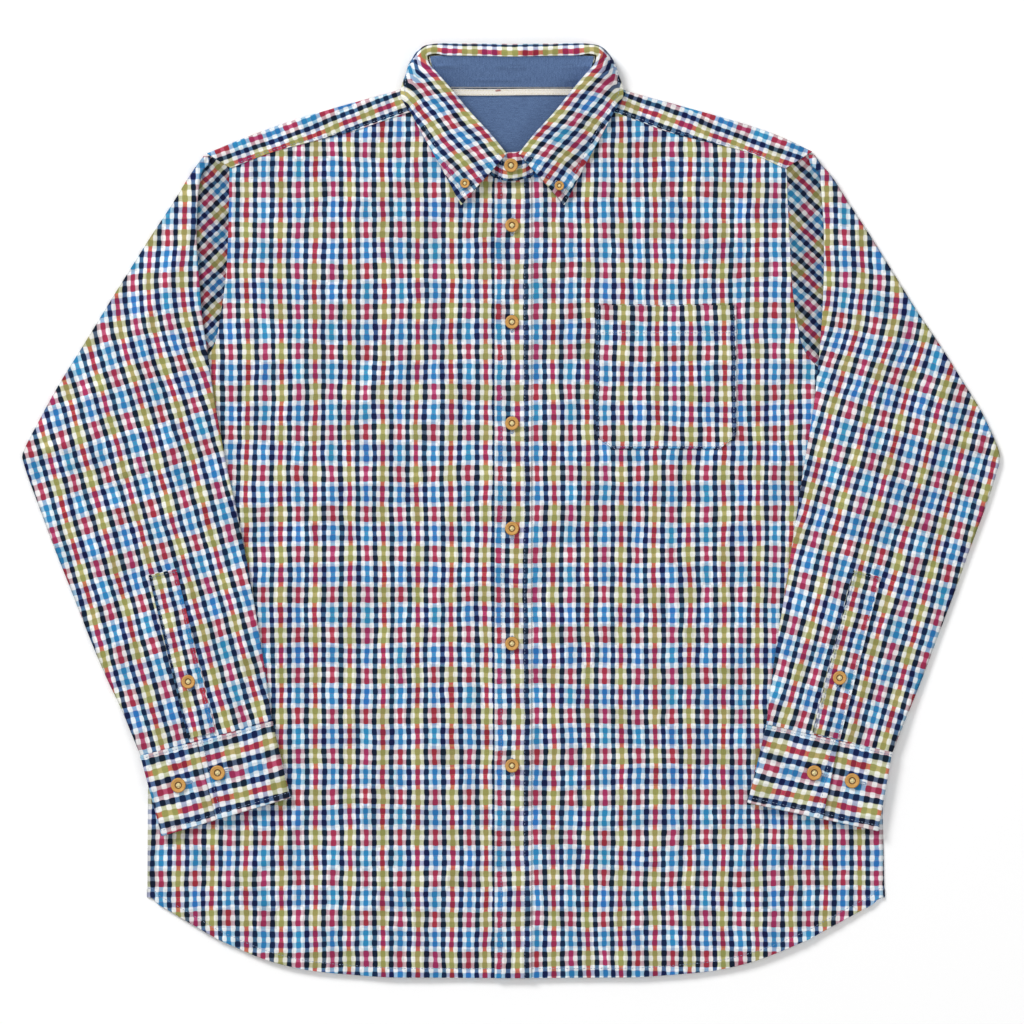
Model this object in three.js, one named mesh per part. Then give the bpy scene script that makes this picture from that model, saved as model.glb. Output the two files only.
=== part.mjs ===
// A long-sleeved button-up shirt lying flat on its back, millimetres, +Z up, collar towards +Y.
// Each cut piece is a thin sheet: a grid of points on its middle surface, given a thickness.
import * as THREE from "three";

// ---- driving dimensions (mm) ----
const CLOTH = 1.2;
const BAND_PLY = 1.0;
const LEAF = 1.6;
const CUFF = 1.8;
const SEAM_GAP = 0.4;
const LAYER_GAP = 0.35;
const FLOOR_Z = CLOTH / 2;
const SIDE_ROLL = 2.5;
const SHOULDER_ROLL = 2.1;
const PANEL_Z = FLOOR_Z + 2 * SHOULDER_ROLL;
const BUTTON_R = 6.1;
const BUTTON_T = 2.3;
const CUFF_BUTTON_R = 6.6;
const POINT_BUTTON_R = 4.2;
const BACK_SEAM_Y = 268;
const NECK_TOP_Y = 289;
const PLACKET_LEFT = -15;
const PLACKET_MID = 0;
const PLACKET_RIGHT = 15.6;

// Hem outline.
const HEM = [
  { x: -321, y: -339 },
  { x: -288, y: -358.5 },
  { x: -258, y: -376 },
  { x: -216, y: -394 },
  { x: -170, y: -404.5 },
  { x: -110, y: -409 },
  { x: 0, y: -409.6 },
  { x: 110, y: -409 },
  { x: 170, y: -404.5 },
  { x: 218, y: -394 },
  { x: 260, y: -376 },
  { x: 292, y: -358.5 },
  { x: 328, y: -339 },
];

// Per side: side seam, armhole from the underarm up, front yoke seam, shoulder fold, neckline.
const SIDES = {
  right: {
    hemX: [-321, -311, -301, -291, -281, -271.5, -263, -256, -249],
    underarm: { x: -318.6, y: 112 },
    armhole: [
      { x: -318.6, y: 112 },
      { x: -294, y: 117.5 },
      { x: -273.7, y: 130.7 },
      { x: -261.4, y: 147.4 },
      { x: -256, y: 173 },
      { x: -251.7, y: 204.6 },
      { x: -249.5, y: 240 },
      { x: -248.6, y: 272.4 },
      { x: -248.2, y: 303.2 },
    ],
    yokeSeam: [
      { x: -248.2, y: 303.2 },
      { x: -213, y: 316.8 },
      { x: -176, y: 327 },
      { x: -139, y: 336.6 },
      { x: -102, y: 349.4 },
      { x: -66, y: 362 },
    ],
    shoulder: [
      { x: -268.4, y: 315.5 },
      { x: -230.6, y: 331 },
      { x: -190, y: 345.4 },
      { x: -148.7, y: 357.7 },
      { x: -105.6, y: 369.6 },
      { x: -71.3, y: 380.6 },
    ],
    neckline: [
      { x: -66, y: 362 },
      { x: -52.8, y: 341 },
      { x: -38.7, y: 322.5 },
      { x: -25.5, y: 305.8 },
    ],
  },
  left: {
    hemX: [328, 317, 306, 295, 284, 272, 260, 248, 235],
    underarm: { x: 318.6, y: 112 },
    armhole: [
      { x: 318.6, y: 112 },
      { x: 294.8, y: 115.7 },
      { x: 272.8, y: 124.5 },
      { x: 256, y: 144 },
      { x: 249.4, y: 173 },
      { x: 245.6, y: 204.6 },
      { x: 244, y: 240 },
      { x: 242.2, y: 272.4 },
      { x: 241, y: 302.7 },
    ],
    yokeSeam: [
      { x: 241, y: 302.7 },
      { x: 209.4, y: 316.8 },
      { x: 174.2, y: 326 },
      { x: 138.2, y: 335.3 },
      { x: 102, y: 349 },
      { x: 66, y: 362 },
    ],
    shoulder: [
      { x: 264, y: 317.2 },
      { x: 230.6, y: 332.6 },
      { x: 191, y: 345.4 },
      { x: 148.7, y: 357.3 },
      { x: 103.8, y: 369.6 },
      { x: 70.4, y: 380.6 },
    ],
    neckline: [
      { x: 66, y: 362 },
      { x: 52.8, y: 341 },
      { x: 38.7, y: 322.5 },
      { x: 27, y: 305.8 },
    ],
  },
};

// Sleeve rows from the shoulder tip to the cuff seam.
// inner: the fold edge over the body; outer: the silhouette; hide: the tuck under the fold edge;
// seamIn: how far the underarm seam lies from the fold edge; step: the lower layer beside the
// body's edge, still on the floor or climbing on to it; lift: height of the lower layer at
// the outer edge; top: height of the upper layer where it starts to turn down at the outer edge.
const SLEEVES = {
  right: [
    { ix: -265, iy: 312.4, ox: -271.4, oy: 312.8, hx: -268.2, hy: 312.6, lift: 0, top: 8 },
    { ix: -266.5, iy: 306.3, ox: -275.6, oy: 307.4, hx: -270.4, hy: 306.6, lift: 0, top: 7.8 },
    { ix: -272, iy: 299.4, ox: -282.1, oy: 298, hx: -276.2, hy: 299, lift: 0, top: 7.4 },
    { ix: -276.3, iy: 270.6, ox: -299.2, oy: 270.6, hx: -282, hy: 270, lift: 0, top: 5.8 },
    { ix: -277, iy: 244, ox: -319.4, oy: 239.8, hx: -286, hy: 242, lift: 0, top: 5 },
    { ix: -276, iy: 220, ox: -338.8, oy: 209, hx: -288, hy: 215, lift: 0, top: 4.8 },
    { ix: -274, iy: 196, ox: -358, oy: 178, hx: -290, hy: 190, lift: 0, top: 4.8 },
    { ix: -272.5, iy: 174, ox: -376.6, oy: 147.4, hx: -296, hy: 166, lift: 0, top: 4.8 },
    { ix: -269.5, iy: 153.5, ox: -396.9, oy: 114.8, hx: -306, hy: 144, lift: 0, top: 4.8 },
    { ix: -266.5, iy: 134, ox: -414.5, oy: 83.2, hx: -318, hy: 123, lift: 0, top: 4.8 },
    { ix: -264, iy: 115.7, ox: -431, oy: 48.8, hx: -332, hy: 114, lift: 0, top: 4.8 },
    { ix: -263.2, iy: 110, ox: -429.8, oy: 43, step: "floor", lift: 0, top: 4.8 },
    { ix: -261.8, iy: 101, ox: -427, oy: 34, step: "climb", lift: 0, top: 4.8 },
    { ix: -257.5, iy: 77, ox: -418, oy: 9.2, seamIn: 50, lift: 0, top: 4.8 },
    { ix: -250, iy: 37.4, ox: -404, oy: -28.6, seamIn: 44, lift: 0, top: 4.8 },
    { ix: -241, iy: -2.2, ox: -389, oy: -66.4, seamIn: 40, lift: 0, top: 4.8 },
    { ix: -233.2, iy: -41.8, ox: -374, oy: -105, seamIn: 36, lift: 0, top: 5 },
    { ix: -226.2, iy: -81.4, ox: -359, oy: -141.2, seamIn: 32, lift: 0.4, top: 5.5 },
    { ix: -220, iy: -119.2, ox: -344, oy: -173, seamIn: 30, lift: 1.6, top: 6.6 },
    { ix: -214.8, iy: -154.4, ox: -334.4, oy: -195.8, seamIn: 28, lift: 3.2, top: 8.4 },
    { ix: -210.8, iy: -183.6, ox: -326.8, oy: -214.4, seamIn: 26, lift: 4.4, top: 9.4 },
  ],
  left: [
    { ix: 260.4, iy: 313.7, ox: 266.8, oy: 313.6, hx: 263.6, hy: 313.7, lift: 0, top: 8 },
    { ix: 261.8, iy: 306.5, ox: 271.2, oy: 306.6, hx: 265.7, hy: 306.5, lift: 0, top: 7.8 },
    { ix: 269.5, iy: 298.5, ox: 279.3, oy: 297.6, hx: 273.6, hy: 298, lift: 0, top: 7.4 },
    { ix: 272.5, iy: 270.6, ox: 297, oy: 270.6, hx: 278.5, hy: 270, lift: 0, top: 5.8 },
    { ix: 274, iy: 244, ox: 317.2, oy: 239.8, hx: 283, hy: 242, lift: 0, top: 5 },
    { ix: 274, iy: 220, ox: 336.2, oy: 209, hx: 286, hy: 215, lift: 0, top: 4.8 },
    { ix: 273.5, iy: 196, ox: 355.4, oy: 178, hx: 289, hy: 190, lift: 0, top: 4.8 },
    { ix: 272.5, iy: 174, ox: 376, oy: 147.4, hx: 295, hy: 166, lift: 0, top: 4.8 },
    { ix: 271, iy: 153.5, ox: 396.5, oy: 114.8, hx: 306, hy: 144, lift: 0, top: 4.8 },
    { ix: 269.5, iy: 134, ox: 415.5, oy: 83.2, hx: 318, hy: 123, lift: 0, top: 4.8 },
    { ix: 267.5, iy: 115.7, ox: 429.5, oy: 48.8, hx: 332, hy: 114, lift: 0, top: 4.8 },
    { ix: 267, iy: 110, ox: 429, oy: 43, step: "floor", lift: 0, top: 4.8 },
    { ix: 266, iy: 101, ox: 426.4, oy: 34, step: "climb", lift: 0, top: 4.8 },
    { ix: 262.5, iy: 77, ox: 418.5, oy: 9.2, seamIn: 48, lift: 0, top: 4.8 },
    { ix: 256, iy: 37.4, ox: 404.5, oy: -28.6, seamIn: 44, lift: 0, top: 4.8 },
    { ix: 250, iy: -2.2, ox: 391, oy: -66.4, seamIn: 40, lift: 0, top: 4.8 },
    { ix: 244, iy: -41.8, ox: 376.5, oy: -105, seamIn: 36, lift: 0, top: 5 },
    { ix: 238, iy: -81.4, ox: 363, oy: -141.2, seamIn: 32, lift: 0.4, top: 5.5 },
    { ix: 232, iy: -119.2, ox: 351, oy: -171, seamIn: 30, lift: 1.6, top: 6.6 },
    { ix: 227, iy: -155, ox: 342, oy: -193, seamIn: 28, lift: 3.2, top: 8.4 },
    { ix: 223.5, iy: -186.4, ox: 334.8, oy: -211, seamIn: 26, lift: 4.4, top: 9.4 },
  ],
};
const UNDERARM_ROW = 10;

// Cuffs: seam corners and lower corners, inner side first.
const CUFFS = {
  right: {
    top: [{ x: -210, y: -185.6 }, { x: -326.3, y: -216.4 }],
    foot: [{ x: -194.5, y: -250.5 }, { x: -308, y: -284.5 }],
  },
  left: {
    top: [{ x: 223, y: -188.6 }, { x: 334, y: -213 }],
    foot: [{ x: 207, y: -255 }, { x: 322, y: -280 }],
  },
};
const CUFF_EDGE_AT = 0.57;
const CUFF_UNDERLAP_AT = 0.28;

// Collar band, from the centre back to the front end: foot and top of the band.
const BAND = [
  { bx: 0, by: 374.6, bz: 2.6, tx: 0, ty: 399.5, tz: 23 },
  { bx: 30, by: 374.6, bz: 2.6, tx: 30, ty: 399.8, tz: 23.2 },
  { bx: 55, by: 374.6, bz: 3, tx: 56, ty: 400, tz: 23 },
  { bx: 63.5, by: 371.4, bz: 5.6, tx: 68, ty: 397, tz: 22 },
  { bx: 62, by: 361, bz: 7.4, tx: 65, ty: 388, tz: 20.4 },
  { bx: 54, by: 346, bz: 7.4, tx: 54, ty: 375, tz: 18.8 },
  { bx: 44, by: 328.7, bz: 7.4, tx: 42, ty: 359.5, tz: 17.2 },
  { bx: 31, by: 312, bz: 7.6, tx: 30, ty: 344, tz: 15.6 },
  { bx: 19.5, by: 298, bz: 7.8, tx: 18, ty: 329, tz: 14.4 },
];
// The ends cross at the front: the wearer's right end passes under the left one.
const BAND_END_UNDER = [
  { bx: -8, by: 292, bz: 7.3, tx: -7, ty: 316, tz: 10.2 },
  { bx: 6, by: 291.5, bz: 7.2, tx: 6, ty: 312.5, tz: 8.6 },
];
const BAND_END_OVER = [
  { bx: 6, by: 292, bz: 11, tx: 5, ty: 316, tz: 14.4 },
  { bx: -4, by: 291, bz: 11.4, tx: -4, ty: 315.5, tz: 14.3 },
  { bx: -12, by: 293, bz: 11.6, tx: -10.5, ty: 312, tz: 14.2 },
];

// Collar leaf stations, from the centre back to the point: fold, roll and edge.
const LEAF_ROWS = [
  { fx: 0, fy: 399.5, fz: 25.2, rx: 0, ry: 13.5, sx: 0, sy: 17.5, ex: 0, ey: 398, ez: 1.6 },
  { fx: 30, fy: 400, fz: 25.4, rx: 0, ry: 13.5, sx: 0, sy: 17.5, ex: 30, ey: 398, ez: 1.6 },
  { fx: 57, fy: 400.5, fz: 25.4, rx: 1, ry: 13.5, sx: 0, sy: 17.5, ex: 62, ey: 398, ez: 2 },
  { fx: 67, fy: 402, fz: 25, rx: 5, ry: 9, sx: 0, sy: 14, ex: 80, ey: 399, ez: 4 },
  { fx: 73.5, fy: 400, fz: 24.4, rx: 7, ry: 2, sx: 1, sy: 6, ex: 91.5, ey: 386, ez: 6.5 },
  { fx: 71, fy: 394, fz: 23.8, rx: 7, ry: -5, sx: -9, sy: 9, ex: 97.5, ey: 368, ez: 8.6 },
  { fx: 59, fy: 382, fz: 22.4, rx: 8, ry: -6, sx: -9, sy: 10, ex: 88, ey: 349.8, ez: 8.6 },
  { fx: 45, fy: 366.5, fz: 20.6, rx: 8, ry: -7, sx: -9, sy: 10, ex: 76.6, ey: 328.7, ez: 8.6 },
  { fx: 33, fy: 349, fz: 19, rx: 8, ry: -8, sx: -9, sy: 11, ex: 65, ey: 308.5, ez: 8.6 },
  { fx: 18, fy: 331.5, fz: 17.8, rx: 8, ry: -9, sx: -9, sy: 11, ex: 54.6, ey: 289, ez: 8.6 },
  { fx: 5, fy: 314.6, fz: 17, rx: 8, ry: -10, sx: -9, sy: 11, ex: 44.6, ey: 270, ez: 8.6 },
];

// Soft folds of the front panels: centre, direction in degrees, half length, half width, height.
const FOLDS = [
  { x: -118, y: 130, turn: 84, long: 90, wide: 17, high: 1.7 },
  { x: -160, y: -60, turn: 97, long: 120, wide: 22, high: 1.4 },
  { x: -70, y: -190, turn: 80, long: 100, wide: 20, high: 1.6 },
  { x: -120, y: -330, turn: 20, long: 80, wide: 18, high: 1.8 },
  { x: 125, y: 10, turn: 96, long: 95, wide: 18, high: 1.8 },
  { x: 62, y: -150, turn: 86, long: 110, wide: 20, high: 1.5 },
  { x: 80, y: -262, turn: 12, long: 70, wide: 16, high: 1.6 },
  { x: 205, y: -330, turn: -28, long: 80, wide: 18, high: 1.6 },
  { x: 120, y: 250, turn: 60, long: 60, wide: 18, high: 1.3 },
  { x: -150, y: 255, turn: 118, long: 70, wide: 20, high: 1.4 },
];
// Folds of the upper sleeve layer: row and share across (0 inner, 1 outer), in rows and shares.
const SLEEVE_FOLDS = [
  { row: 7, at: 0.42, rows: 3.2, share: 0.2, high: 2.2, slant: 0.05 },
  { row: 10.5, at: 0.75, rows: 1.3, share: 0.22, high: 1.8, slant: -0.12 },
  { row: 13.5, at: 0.55, rows: 1.5, share: 0.3, high: 1.6, slant: 0.1 },
  { row: 16, at: 0.3, rows: 2.4, share: 0.16, high: 2.0, slant: -0.02 },
  { row: 19.4, at: 0.36, rows: 2.6, share: 0.07, high: 1.7, slant: 0.02 },
  { row: 19.4, at: 0.2, rows: 2.2, share: 0.07, high: 1.5, slant: 0.02 },
];

const BUTTON_ROWS = [252, 167, 78, -14.5, -115.7, -223];
const POCKET = { left: 74, right: 197, top: 181.5, foot: 56, cut: 14 };
const SLEEVE_PLACKETS = {
  right: { tx: -307, ty: -53, bx: -272.5, by: -196, half: 12.3, button: 0.68 },
  left: { tx: 312, ty: -54, bx: 276, by: -196.6, half: 12.3, button: 0.66 },
};

// ---- small helpers ----
const V = (x, y, z) => new THREE.Vector3(x, y, z);
const lerp = (a, b, t) => a + (b - a) * t;
const clamp = (v, lo, hi) => Math.min(Math.max(v, lo), hi);
function smooth(t) {
  const c = clamp(t, 0, 1);
  return c * c * (3 - 2 * c);
}

// Height of a table curve at x, straight between its rows.
function tableY(table, x) {
  const c = clamp(x, table[0].x, table[table.length - 1].x);
  let i = 0;
  while (i < table.length - 2 && table[i + 1].x < c) i += 1;
  const a = table[i];
  const b = table[i + 1];
  return lerp(a.y, b.y, (c - a.x) / (b.x - a.x));
}

// Left normal (unit) of a plan polyline at vertex k.
function planNormal(points, k) {
  const a = points[Math.max(k - 1, 0)];
  const b = points[Math.min(k + 1, points.length - 1)];
  const dx = b.x - a.x;
  const dy = b.y - a.y;
  const d = Math.hypot(dx, dy);
  return { x: -dy / d, y: dx / d };
}

const material = (color, roughness) =>
  new THREE.MeshStandardMaterial({ color, roughness, metalness: 0, side: THREE.DoubleSide });
const CHECK = material("#8b93a6", 0.9);
const CHAMBRAY = material("#4e6892", 0.9);
const TAPE = material("#e3dccb", 0.85);
const WOOD = material("#c8964b", 0.6);

// The tables are drawn about the placket; the part's origin is the middle of its footprint.
const CENTRE = { x: -0.75, y: 0.94 };
const group = new THREE.Group();
group.name = "shirt";
group.position.set(-CENTRE.x, -CENTRE.y, 0);

function addMesh(name, positions, triangles, mat) {
  let volume = 0;
  for (let i = 0; i < triangles.length; i += 3) {
    const a = positions[triangles[i]];
    const b = positions[triangles[i + 1]];
    const c = positions[triangles[i + 2]];
    volume += a.dot(V(0, 0, 0).crossVectors(b, c));
  }
  if (volume < 0) triangles.reverse();
  const geometry = new THREE.BufferGeometry();
  geometry.setAttribute(
    "position",
    new THREE.Float32BufferAttribute(positions.flatMap((p) => [p.x, p.y, p.z]), 3),
  );
  geometry.setIndex(triangles);
  geometry.computeVertexNormals();
  const mesh = new THREE.Mesh(geometry, mat);
  mesh.name = name;
  group.add(mesh);
  return mesh;
}

// Unit normals of a grid of points; cells that are missing don't count.
function gridNormals(grid, missing) {
  return grid.map((row, j) =>
    row.map((p, i) => {
      const n = V(0, 0, 0);
      for (const [di, dj] of [[0, 0], [-1, 0], [0, -1], [-1, -1]]) {
        const ci = i + di;
        const cj = j + dj;
        if (ci < 0 || cj < 0 || ci >= row.length - 1 || cj >= grid.length - 1) continue;
        if (missing(ci, cj)) continue;
        const across = grid[cj + 1][ci + 1].clone().sub(grid[cj][ci]);
        const back = grid[cj + 1][ci].clone().sub(grid[cj][ci + 1]);
        n.add(V(0, 0, 0).crossVectors(across, back).normalize());
      }
      return n.normalize();
    }),
  );
}

// A sheet of cloth: the grid of its middle surface given a thickness, with a rim all round.
function sheet(name, grid, thick, mat, missing = () => false) {
  const rows = grid.length;
  const cols = grid[0].length;
  const normals = gridNormals(grid, missing);
  const index = new Map();
  const positions = [];
  const triangles = [];
  const at = (i, j, side) => {
    const key = (j * cols + i) * 2 + (side > 0 ? 1 : 0);
    if (!index.has(key)) {
      index.set(key, positions.length);
      positions.push(grid[j][i].clone().addScaledVector(normals[j][i], (side * thick) / 2));
    }
    return index.get(key);
  };
  const present = (i, j) =>
    i >= 0 && j >= 0 && i < cols - 1 && j < rows - 1 && !missing(i, j);
  const rim = (i0, j0, i1, j1) => {
    const a = at(i0, j0, 1);
    const b = at(i1, j1, 1);
    const c = at(i1, j1, -1);
    const d = at(i0, j0, -1);
    triangles.push(a, c, b, a, d, c);
  };
  for (let j = 0; j < rows - 1; j += 1) {
    for (let i = 0; i < cols - 1; i += 1) {
      if (!present(i, j)) continue;
      for (const side of [1, -1]) {
        const a = at(i, j, side);
        const b = at(i + 1, j, side);
        const c = at(i + 1, j + 1, side);
        const d = at(i, j + 1, side);
        if (side > 0) triangles.push(a, b, c, a, c, d);
        else triangles.push(a, c, b, a, d, c);
      }
      if (!present(i, j - 1)) rim(i, j, i + 1, j);
      if (!present(i + 1, j)) rim(i + 1, j, i + 1, j + 1);
      if (!present(i, j + 1)) rim(i + 1, j + 1, i, j + 1);
      if (!present(i - 1, j)) rim(i, j + 1, i, j);
    }
  }
  return addMesh(name, positions, triangles, mat);
}

// Height of a grid's middle surface over a plan point, from its own triangles; null outside.
function heightOn(grid, x, y, from = 0, to = 1e9) {
  let best = null;
  for (let j = 0; j < grid.length - 1; j += 1) {
    for (let i = from; i < Math.min(grid[0].length - 1, to); i += 1) {
      const a = grid[j][i];
      const b = grid[j][i + 1];
      const c = grid[j + 1][i + 1];
      const d = grid[j + 1][i];
      for (const [p, q, r] of [[a, b, c], [a, c, d]]) {
        const det = (q.x - p.x) * (r.y - p.y) - (r.x - p.x) * (q.y - p.y);
        if (Math.abs(det) < 1e-9) continue;
        const s = ((x - p.x) * (r.y - p.y) - (r.x - p.x) * (y - p.y)) / det;
        const t = ((q.x - p.x) * (y - p.y) - (x - p.x) * (q.y - p.y)) / det;
        if (s < -1e-6 || t < -1e-6 || s + t > 1 + 1e-6) continue;
        const z = p.z + s * (q.z - p.z) + t * (r.z - p.z);
        if (best === null || z > best) best = z;
      }
    }
  }
  return best;
}

// ---- front panels ----
const sideX = (side, y) => {
  const s = SIDES[side];
  return lerp(s.hemX[0], s.underarm.x, clamp((y + 339) / (s.underarm.y + 339), 0, 1));
};

// Middle surface height of a front panel, without its side roll.
function panelHeight(x, y) {
  const side = x < 0 ? "right" : "left";
  const inward = Math.abs(sideX(side, y)) - Math.abs(x);
  const low = SIDE_ROLL + (PANEL_Z - SIDE_ROLL) * smooth(inward / 75);
  const nearTop = smooth((y - 120) / 60);
  const base = lerp(low, PANEL_Z, nearTop);
  let folds = 0;
  for (const f of FOLDS) {
    const a = (f.turn * Math.PI) / 180;
    const u = ((x - f.x) * Math.cos(a) + (y - f.y) * Math.sin(a)) / f.long;
    const w = ((y - f.y) * Math.cos(a) - (x - f.x) * Math.sin(a)) / f.wide;
    folds += f.high * Math.exp(-(u ** 4) - w * w);
  }
  const calmTop = 1 - smooth((y - 235) / 50);
  const calmMid = smooth((Math.abs(x) - 16) / 30);
  const calmSide = smooth((inward - 75) / 50);
  return base + folds * calmTop * calmMid * calmSide;
}

// Columns run from the hem to the top edge: armhole, yoke seam, neckline, then the centre strip.
function frontGrid(side) {
  const s = SIDES[side];
  const sign = side === "right" ? -1 : 1;
  const tops = [...s.armhole, ...s.yokeSeam.slice(1), ...s.neckline.slice(1)];
  const feet = [...s.hemX];
  for (const p of s.yokeSeam.slice(1)) feet.push(p.x);
  for (const p of s.neckline.slice(1)) feet.push(p.x);
  if (side === "right") {
    for (const x of [PLACKET_LEFT, PLACKET_MID, PLACKET_RIGHT - 0.6]) {
      tops.push({ x, y: NECK_TOP_Y });
      feet.push(x);
    }
  } else {
    tops.push({ x: PLACKET_RIGHT + 0.6, y: NECK_TOP_Y });
    feet.push(PLACKET_RIGHT + 0.6);
  }
  const rows = 18;
  const grid = [];
  for (let j = 0; j <= rows; j += 1) {
    const v = j / rows;
    const row = [];
    tops.forEach((top, k) => {
      const foot = { x: feet[k], y: tableY(HEM, feet[k]) };
      const x = lerp(foot.x, top.x, v);
      const y = lerp(foot.y, top.y, v);
      if (k === 0) {
        const edge = x;
        const inset = FLOOR_Z + SIDE_ROLL;
        row.push(V(edge - sign * FLOOR_Z, y, 0.27));
        row.push(V(edge - sign * (inset - SIDE_ROLL * Math.SQRT1_2), y, SIDE_ROLL * Math.SQRT1_2));
        row.push(V(edge - sign * inset, y, SIDE_ROLL));
        return;
      }
      row.push(V(x, y, panelHeight(x, y)));
    });
    grid.push(row);
  }
  return grid;
}
const fronts = { right: frontGrid("right"), left: frontGrid("left") };
sheet("front_right", fronts.right, CLOTH, CHECK);
sheet("front_left", fronts.left, CLOTH, CHECK);
const onFronts = (x, y) => {
  const a = heightOn(fronts.right, x, y, 2);
  const b = heightOn(fronts.left, x, y, 2);
  return Math.max(a ?? 0, b ?? 0) || panelHeight(x, y);
};

// The placket lies on the right front's centre strip, on the same rows.
const placketCols = [fronts.right[0].length - 3, fronts.right[0].length - 2, fronts.right[0].length - 1];
const placket = fronts.right.map((row) =>
  placketCols.map((i) => V(row[i].x, row[i].y, row[i].z + CLOTH + LAYER_GAP)),
);
sheet("placket", placket, CLOTH, CHECK);

// The chest pocket, its foot corners cut off.
const pocket = [];
for (let j = 0; j <= 8; j += 1) {
  const row = [];
  const y = lerp(POCKET.top, POCKET.foot, Math.min(j / 7, 1) * 0.89 + (j === 8 ? 0.11 : 0));
  const inset = j === 8 ? POCKET.cut : 0;
  for (let i = 0; i <= 7; i += 1) {
    const x = lerp(POCKET.left + inset, POCKET.right - inset, i / 7);
    row.push(V(x, y, onFronts(x, y) + CLOTH + LAYER_GAP + 0.25));
  }
  pocket.push(row);
}
sheet("pocket", pocket, CLOTH, CHECK);

// ---- yoke, back panel, yoke lining, neck tape ----
// Plan point where the shoulder roll meets the flat cloth, for shoulder vertex k.
function rollFoot(side, k, extra = 0) {
  const s = SIDES[side];
  const a = s.shoulder[k];
  const b = s.yokeSeam[k];
  const d = Math.hypot(b.x - a.x, b.y - a.y);
  const reach = FLOOR_Z + SHOULDER_ROLL + extra;
  return { x: a.x + ((b.x - a.x) / d) * reach, y: a.y + ((b.y - a.y) / d) * reach };
}
const neckBack = [-60, -30, 0, 30, 60].map((x) => ({ x, y: 372.6 }));
const yokeColumns = [];
for (let k = 0; k <= 5; k += 1) yokeColumns.push({ side: "right", k });
for (const p of neckBack) yokeColumns.push({ side: null, p });
for (let k = 5; k >= 0; k -= 1) yokeColumns.push({ side: "left", k });
const seamEnd = { right: { x: -249.5, y: BACK_SEAM_Y }, left: { x: 242.5, y: BACK_SEAM_Y } };
const ROLL_STEPS = 4;
const yokeGrid = [];
for (let j = 0; j <= 4 + ROLL_STEPS; j += 1) {
  yokeGrid.push(
    yokeColumns.map((c, i) => {
      const t = i / (yokeColumns.length - 1);
      const footX = lerp(seamEnd.right.x, seamEnd.left.x, t);
      const start = c.side ? rollFoot(c.side, c.k) : c.p;
      if (j <= 2 || !c.side) {
        const v = Math.min(j, 2) / 2;
        return V(lerp(footX, start.x, v), lerp(BACK_SEAM_Y, start.y, v), FLOOR_Z);
      }
      const s = SIDES[c.side];
      const edge = s.shoulder[c.k];
      const seam = s.yokeSeam[c.k];
      const d = Math.hypot(seam.x - edge.x, seam.y - edge.y);
      const out = { x: (edge.x - seam.x) / d, y: (edge.y - seam.y) / d };
      if (j <= 2 + ROLL_STEPS) {
        const a = (Math.PI * (j - 2)) / ROLL_STEPS;
        const o = SHOULDER_ROLL * Math.sin(a);
        return V(start.x + out.x * o, start.y + out.y * o, PANEL_Z / 2 + FLOOR_Z / 2 - SHOULDER_ROLL * Math.cos(a));
      }
      const v = (j - 2 - ROLL_STEPS) / 2;
      const stop = { x: seam.x + out.x * 0.6, y: seam.y + out.y * 0.6 };
      return V(lerp(start.x, stop.x, v), lerp(start.y, stop.y, v), PANEL_Z);
    }),
  );
}
const overNeck = (i, j) => j >= 2 && (yokeColumns[i].side === null || yokeColumns[i + 1].side === null);
sheet("yoke", yokeGrid, CLOTH, CHECK, overNeck);

const liningGrid = [];
for (let j = 0; j <= 3; j += 1) {
  liningGrid.push(
    yokeColumns.map((c, i) => {
      const t = i / (yokeColumns.length - 1);
      const footX = lerp(seamEnd.right.x + 3, seamEnd.left.x - 3, t);
      const start = c.side ? rollFoot(c.side, c.k, 1.6) : { x: c.p.x * 0.98, y: c.p.y - 0.6 };
      const inset = c.side && c.k === 0 ? (c.side === "right" ? 3 : -3) : 0;
      return V(
        lerp(footX, start.x + inset, j / 3),
        lerp(BACK_SEAM_Y + 4, start.y, j / 3),
        FLOOR_Z + CLOTH + LAYER_GAP,
      );
    }),
  );
}
sheet("yoke_lining", liningGrid, CLOTH, CHAMBRAY);

const tape = [0, 1].map((j) =>
  [-57, -30, 0, 30, 57].map((x) => V(x, 371.8 - 5.2 * j, FLOOR_Z + 2 * (CLOTH + LAYER_GAP))),
);
sheet("neck_tape", tape, 1.0, TAPE);

// The back panel: hem to underarm, armhole and back yoke seam.
const backTop = (side) => {
  const s = SIDES[side];
  const hole = s.armhole.slice(0, 7).map((p) => ({ x: p.x, y: p.y }));
  hole[0] = { x: s.armhole[0].x + (side === "right" ? 2 : -2), y: s.armhole[0].y };
  hole.push({ x: seamEnd[side].x, y: BACK_SEAM_Y - SEAM_GAP });
  return hole;
};
const backTops = [
  ...backTop("right"),
  ...[-160, -80, 0, 80, 160].map((x) => ({ x, y: BACK_SEAM_Y - SEAM_GAP })),
  ...backTop("left").reverse(),
];
const backFeet = backTops.map((p, i) => {
  const hole = 7;
  if (i <= hole) return lerp(-318.4, -249, i / hole);
  if (i >= backTops.length - 1 - hole) return lerp(325.4, 242, (backTops.length - 1 - i) / hole);
  return p.x;
});
const backGrid = [];
for (let j = 0; j <= 6; j += 1) {
  backGrid.push(
    backTops.map((top, i) => {
      const x = backFeet[i];
      return V(lerp(x, top.x, j / 6), lerp(tableY(HEM, x) + 1.2, top.y, j / 6), FLOOR_Z);
    }),
  );
}
sheet("back", backGrid, CLOTH, CHECK);

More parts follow.
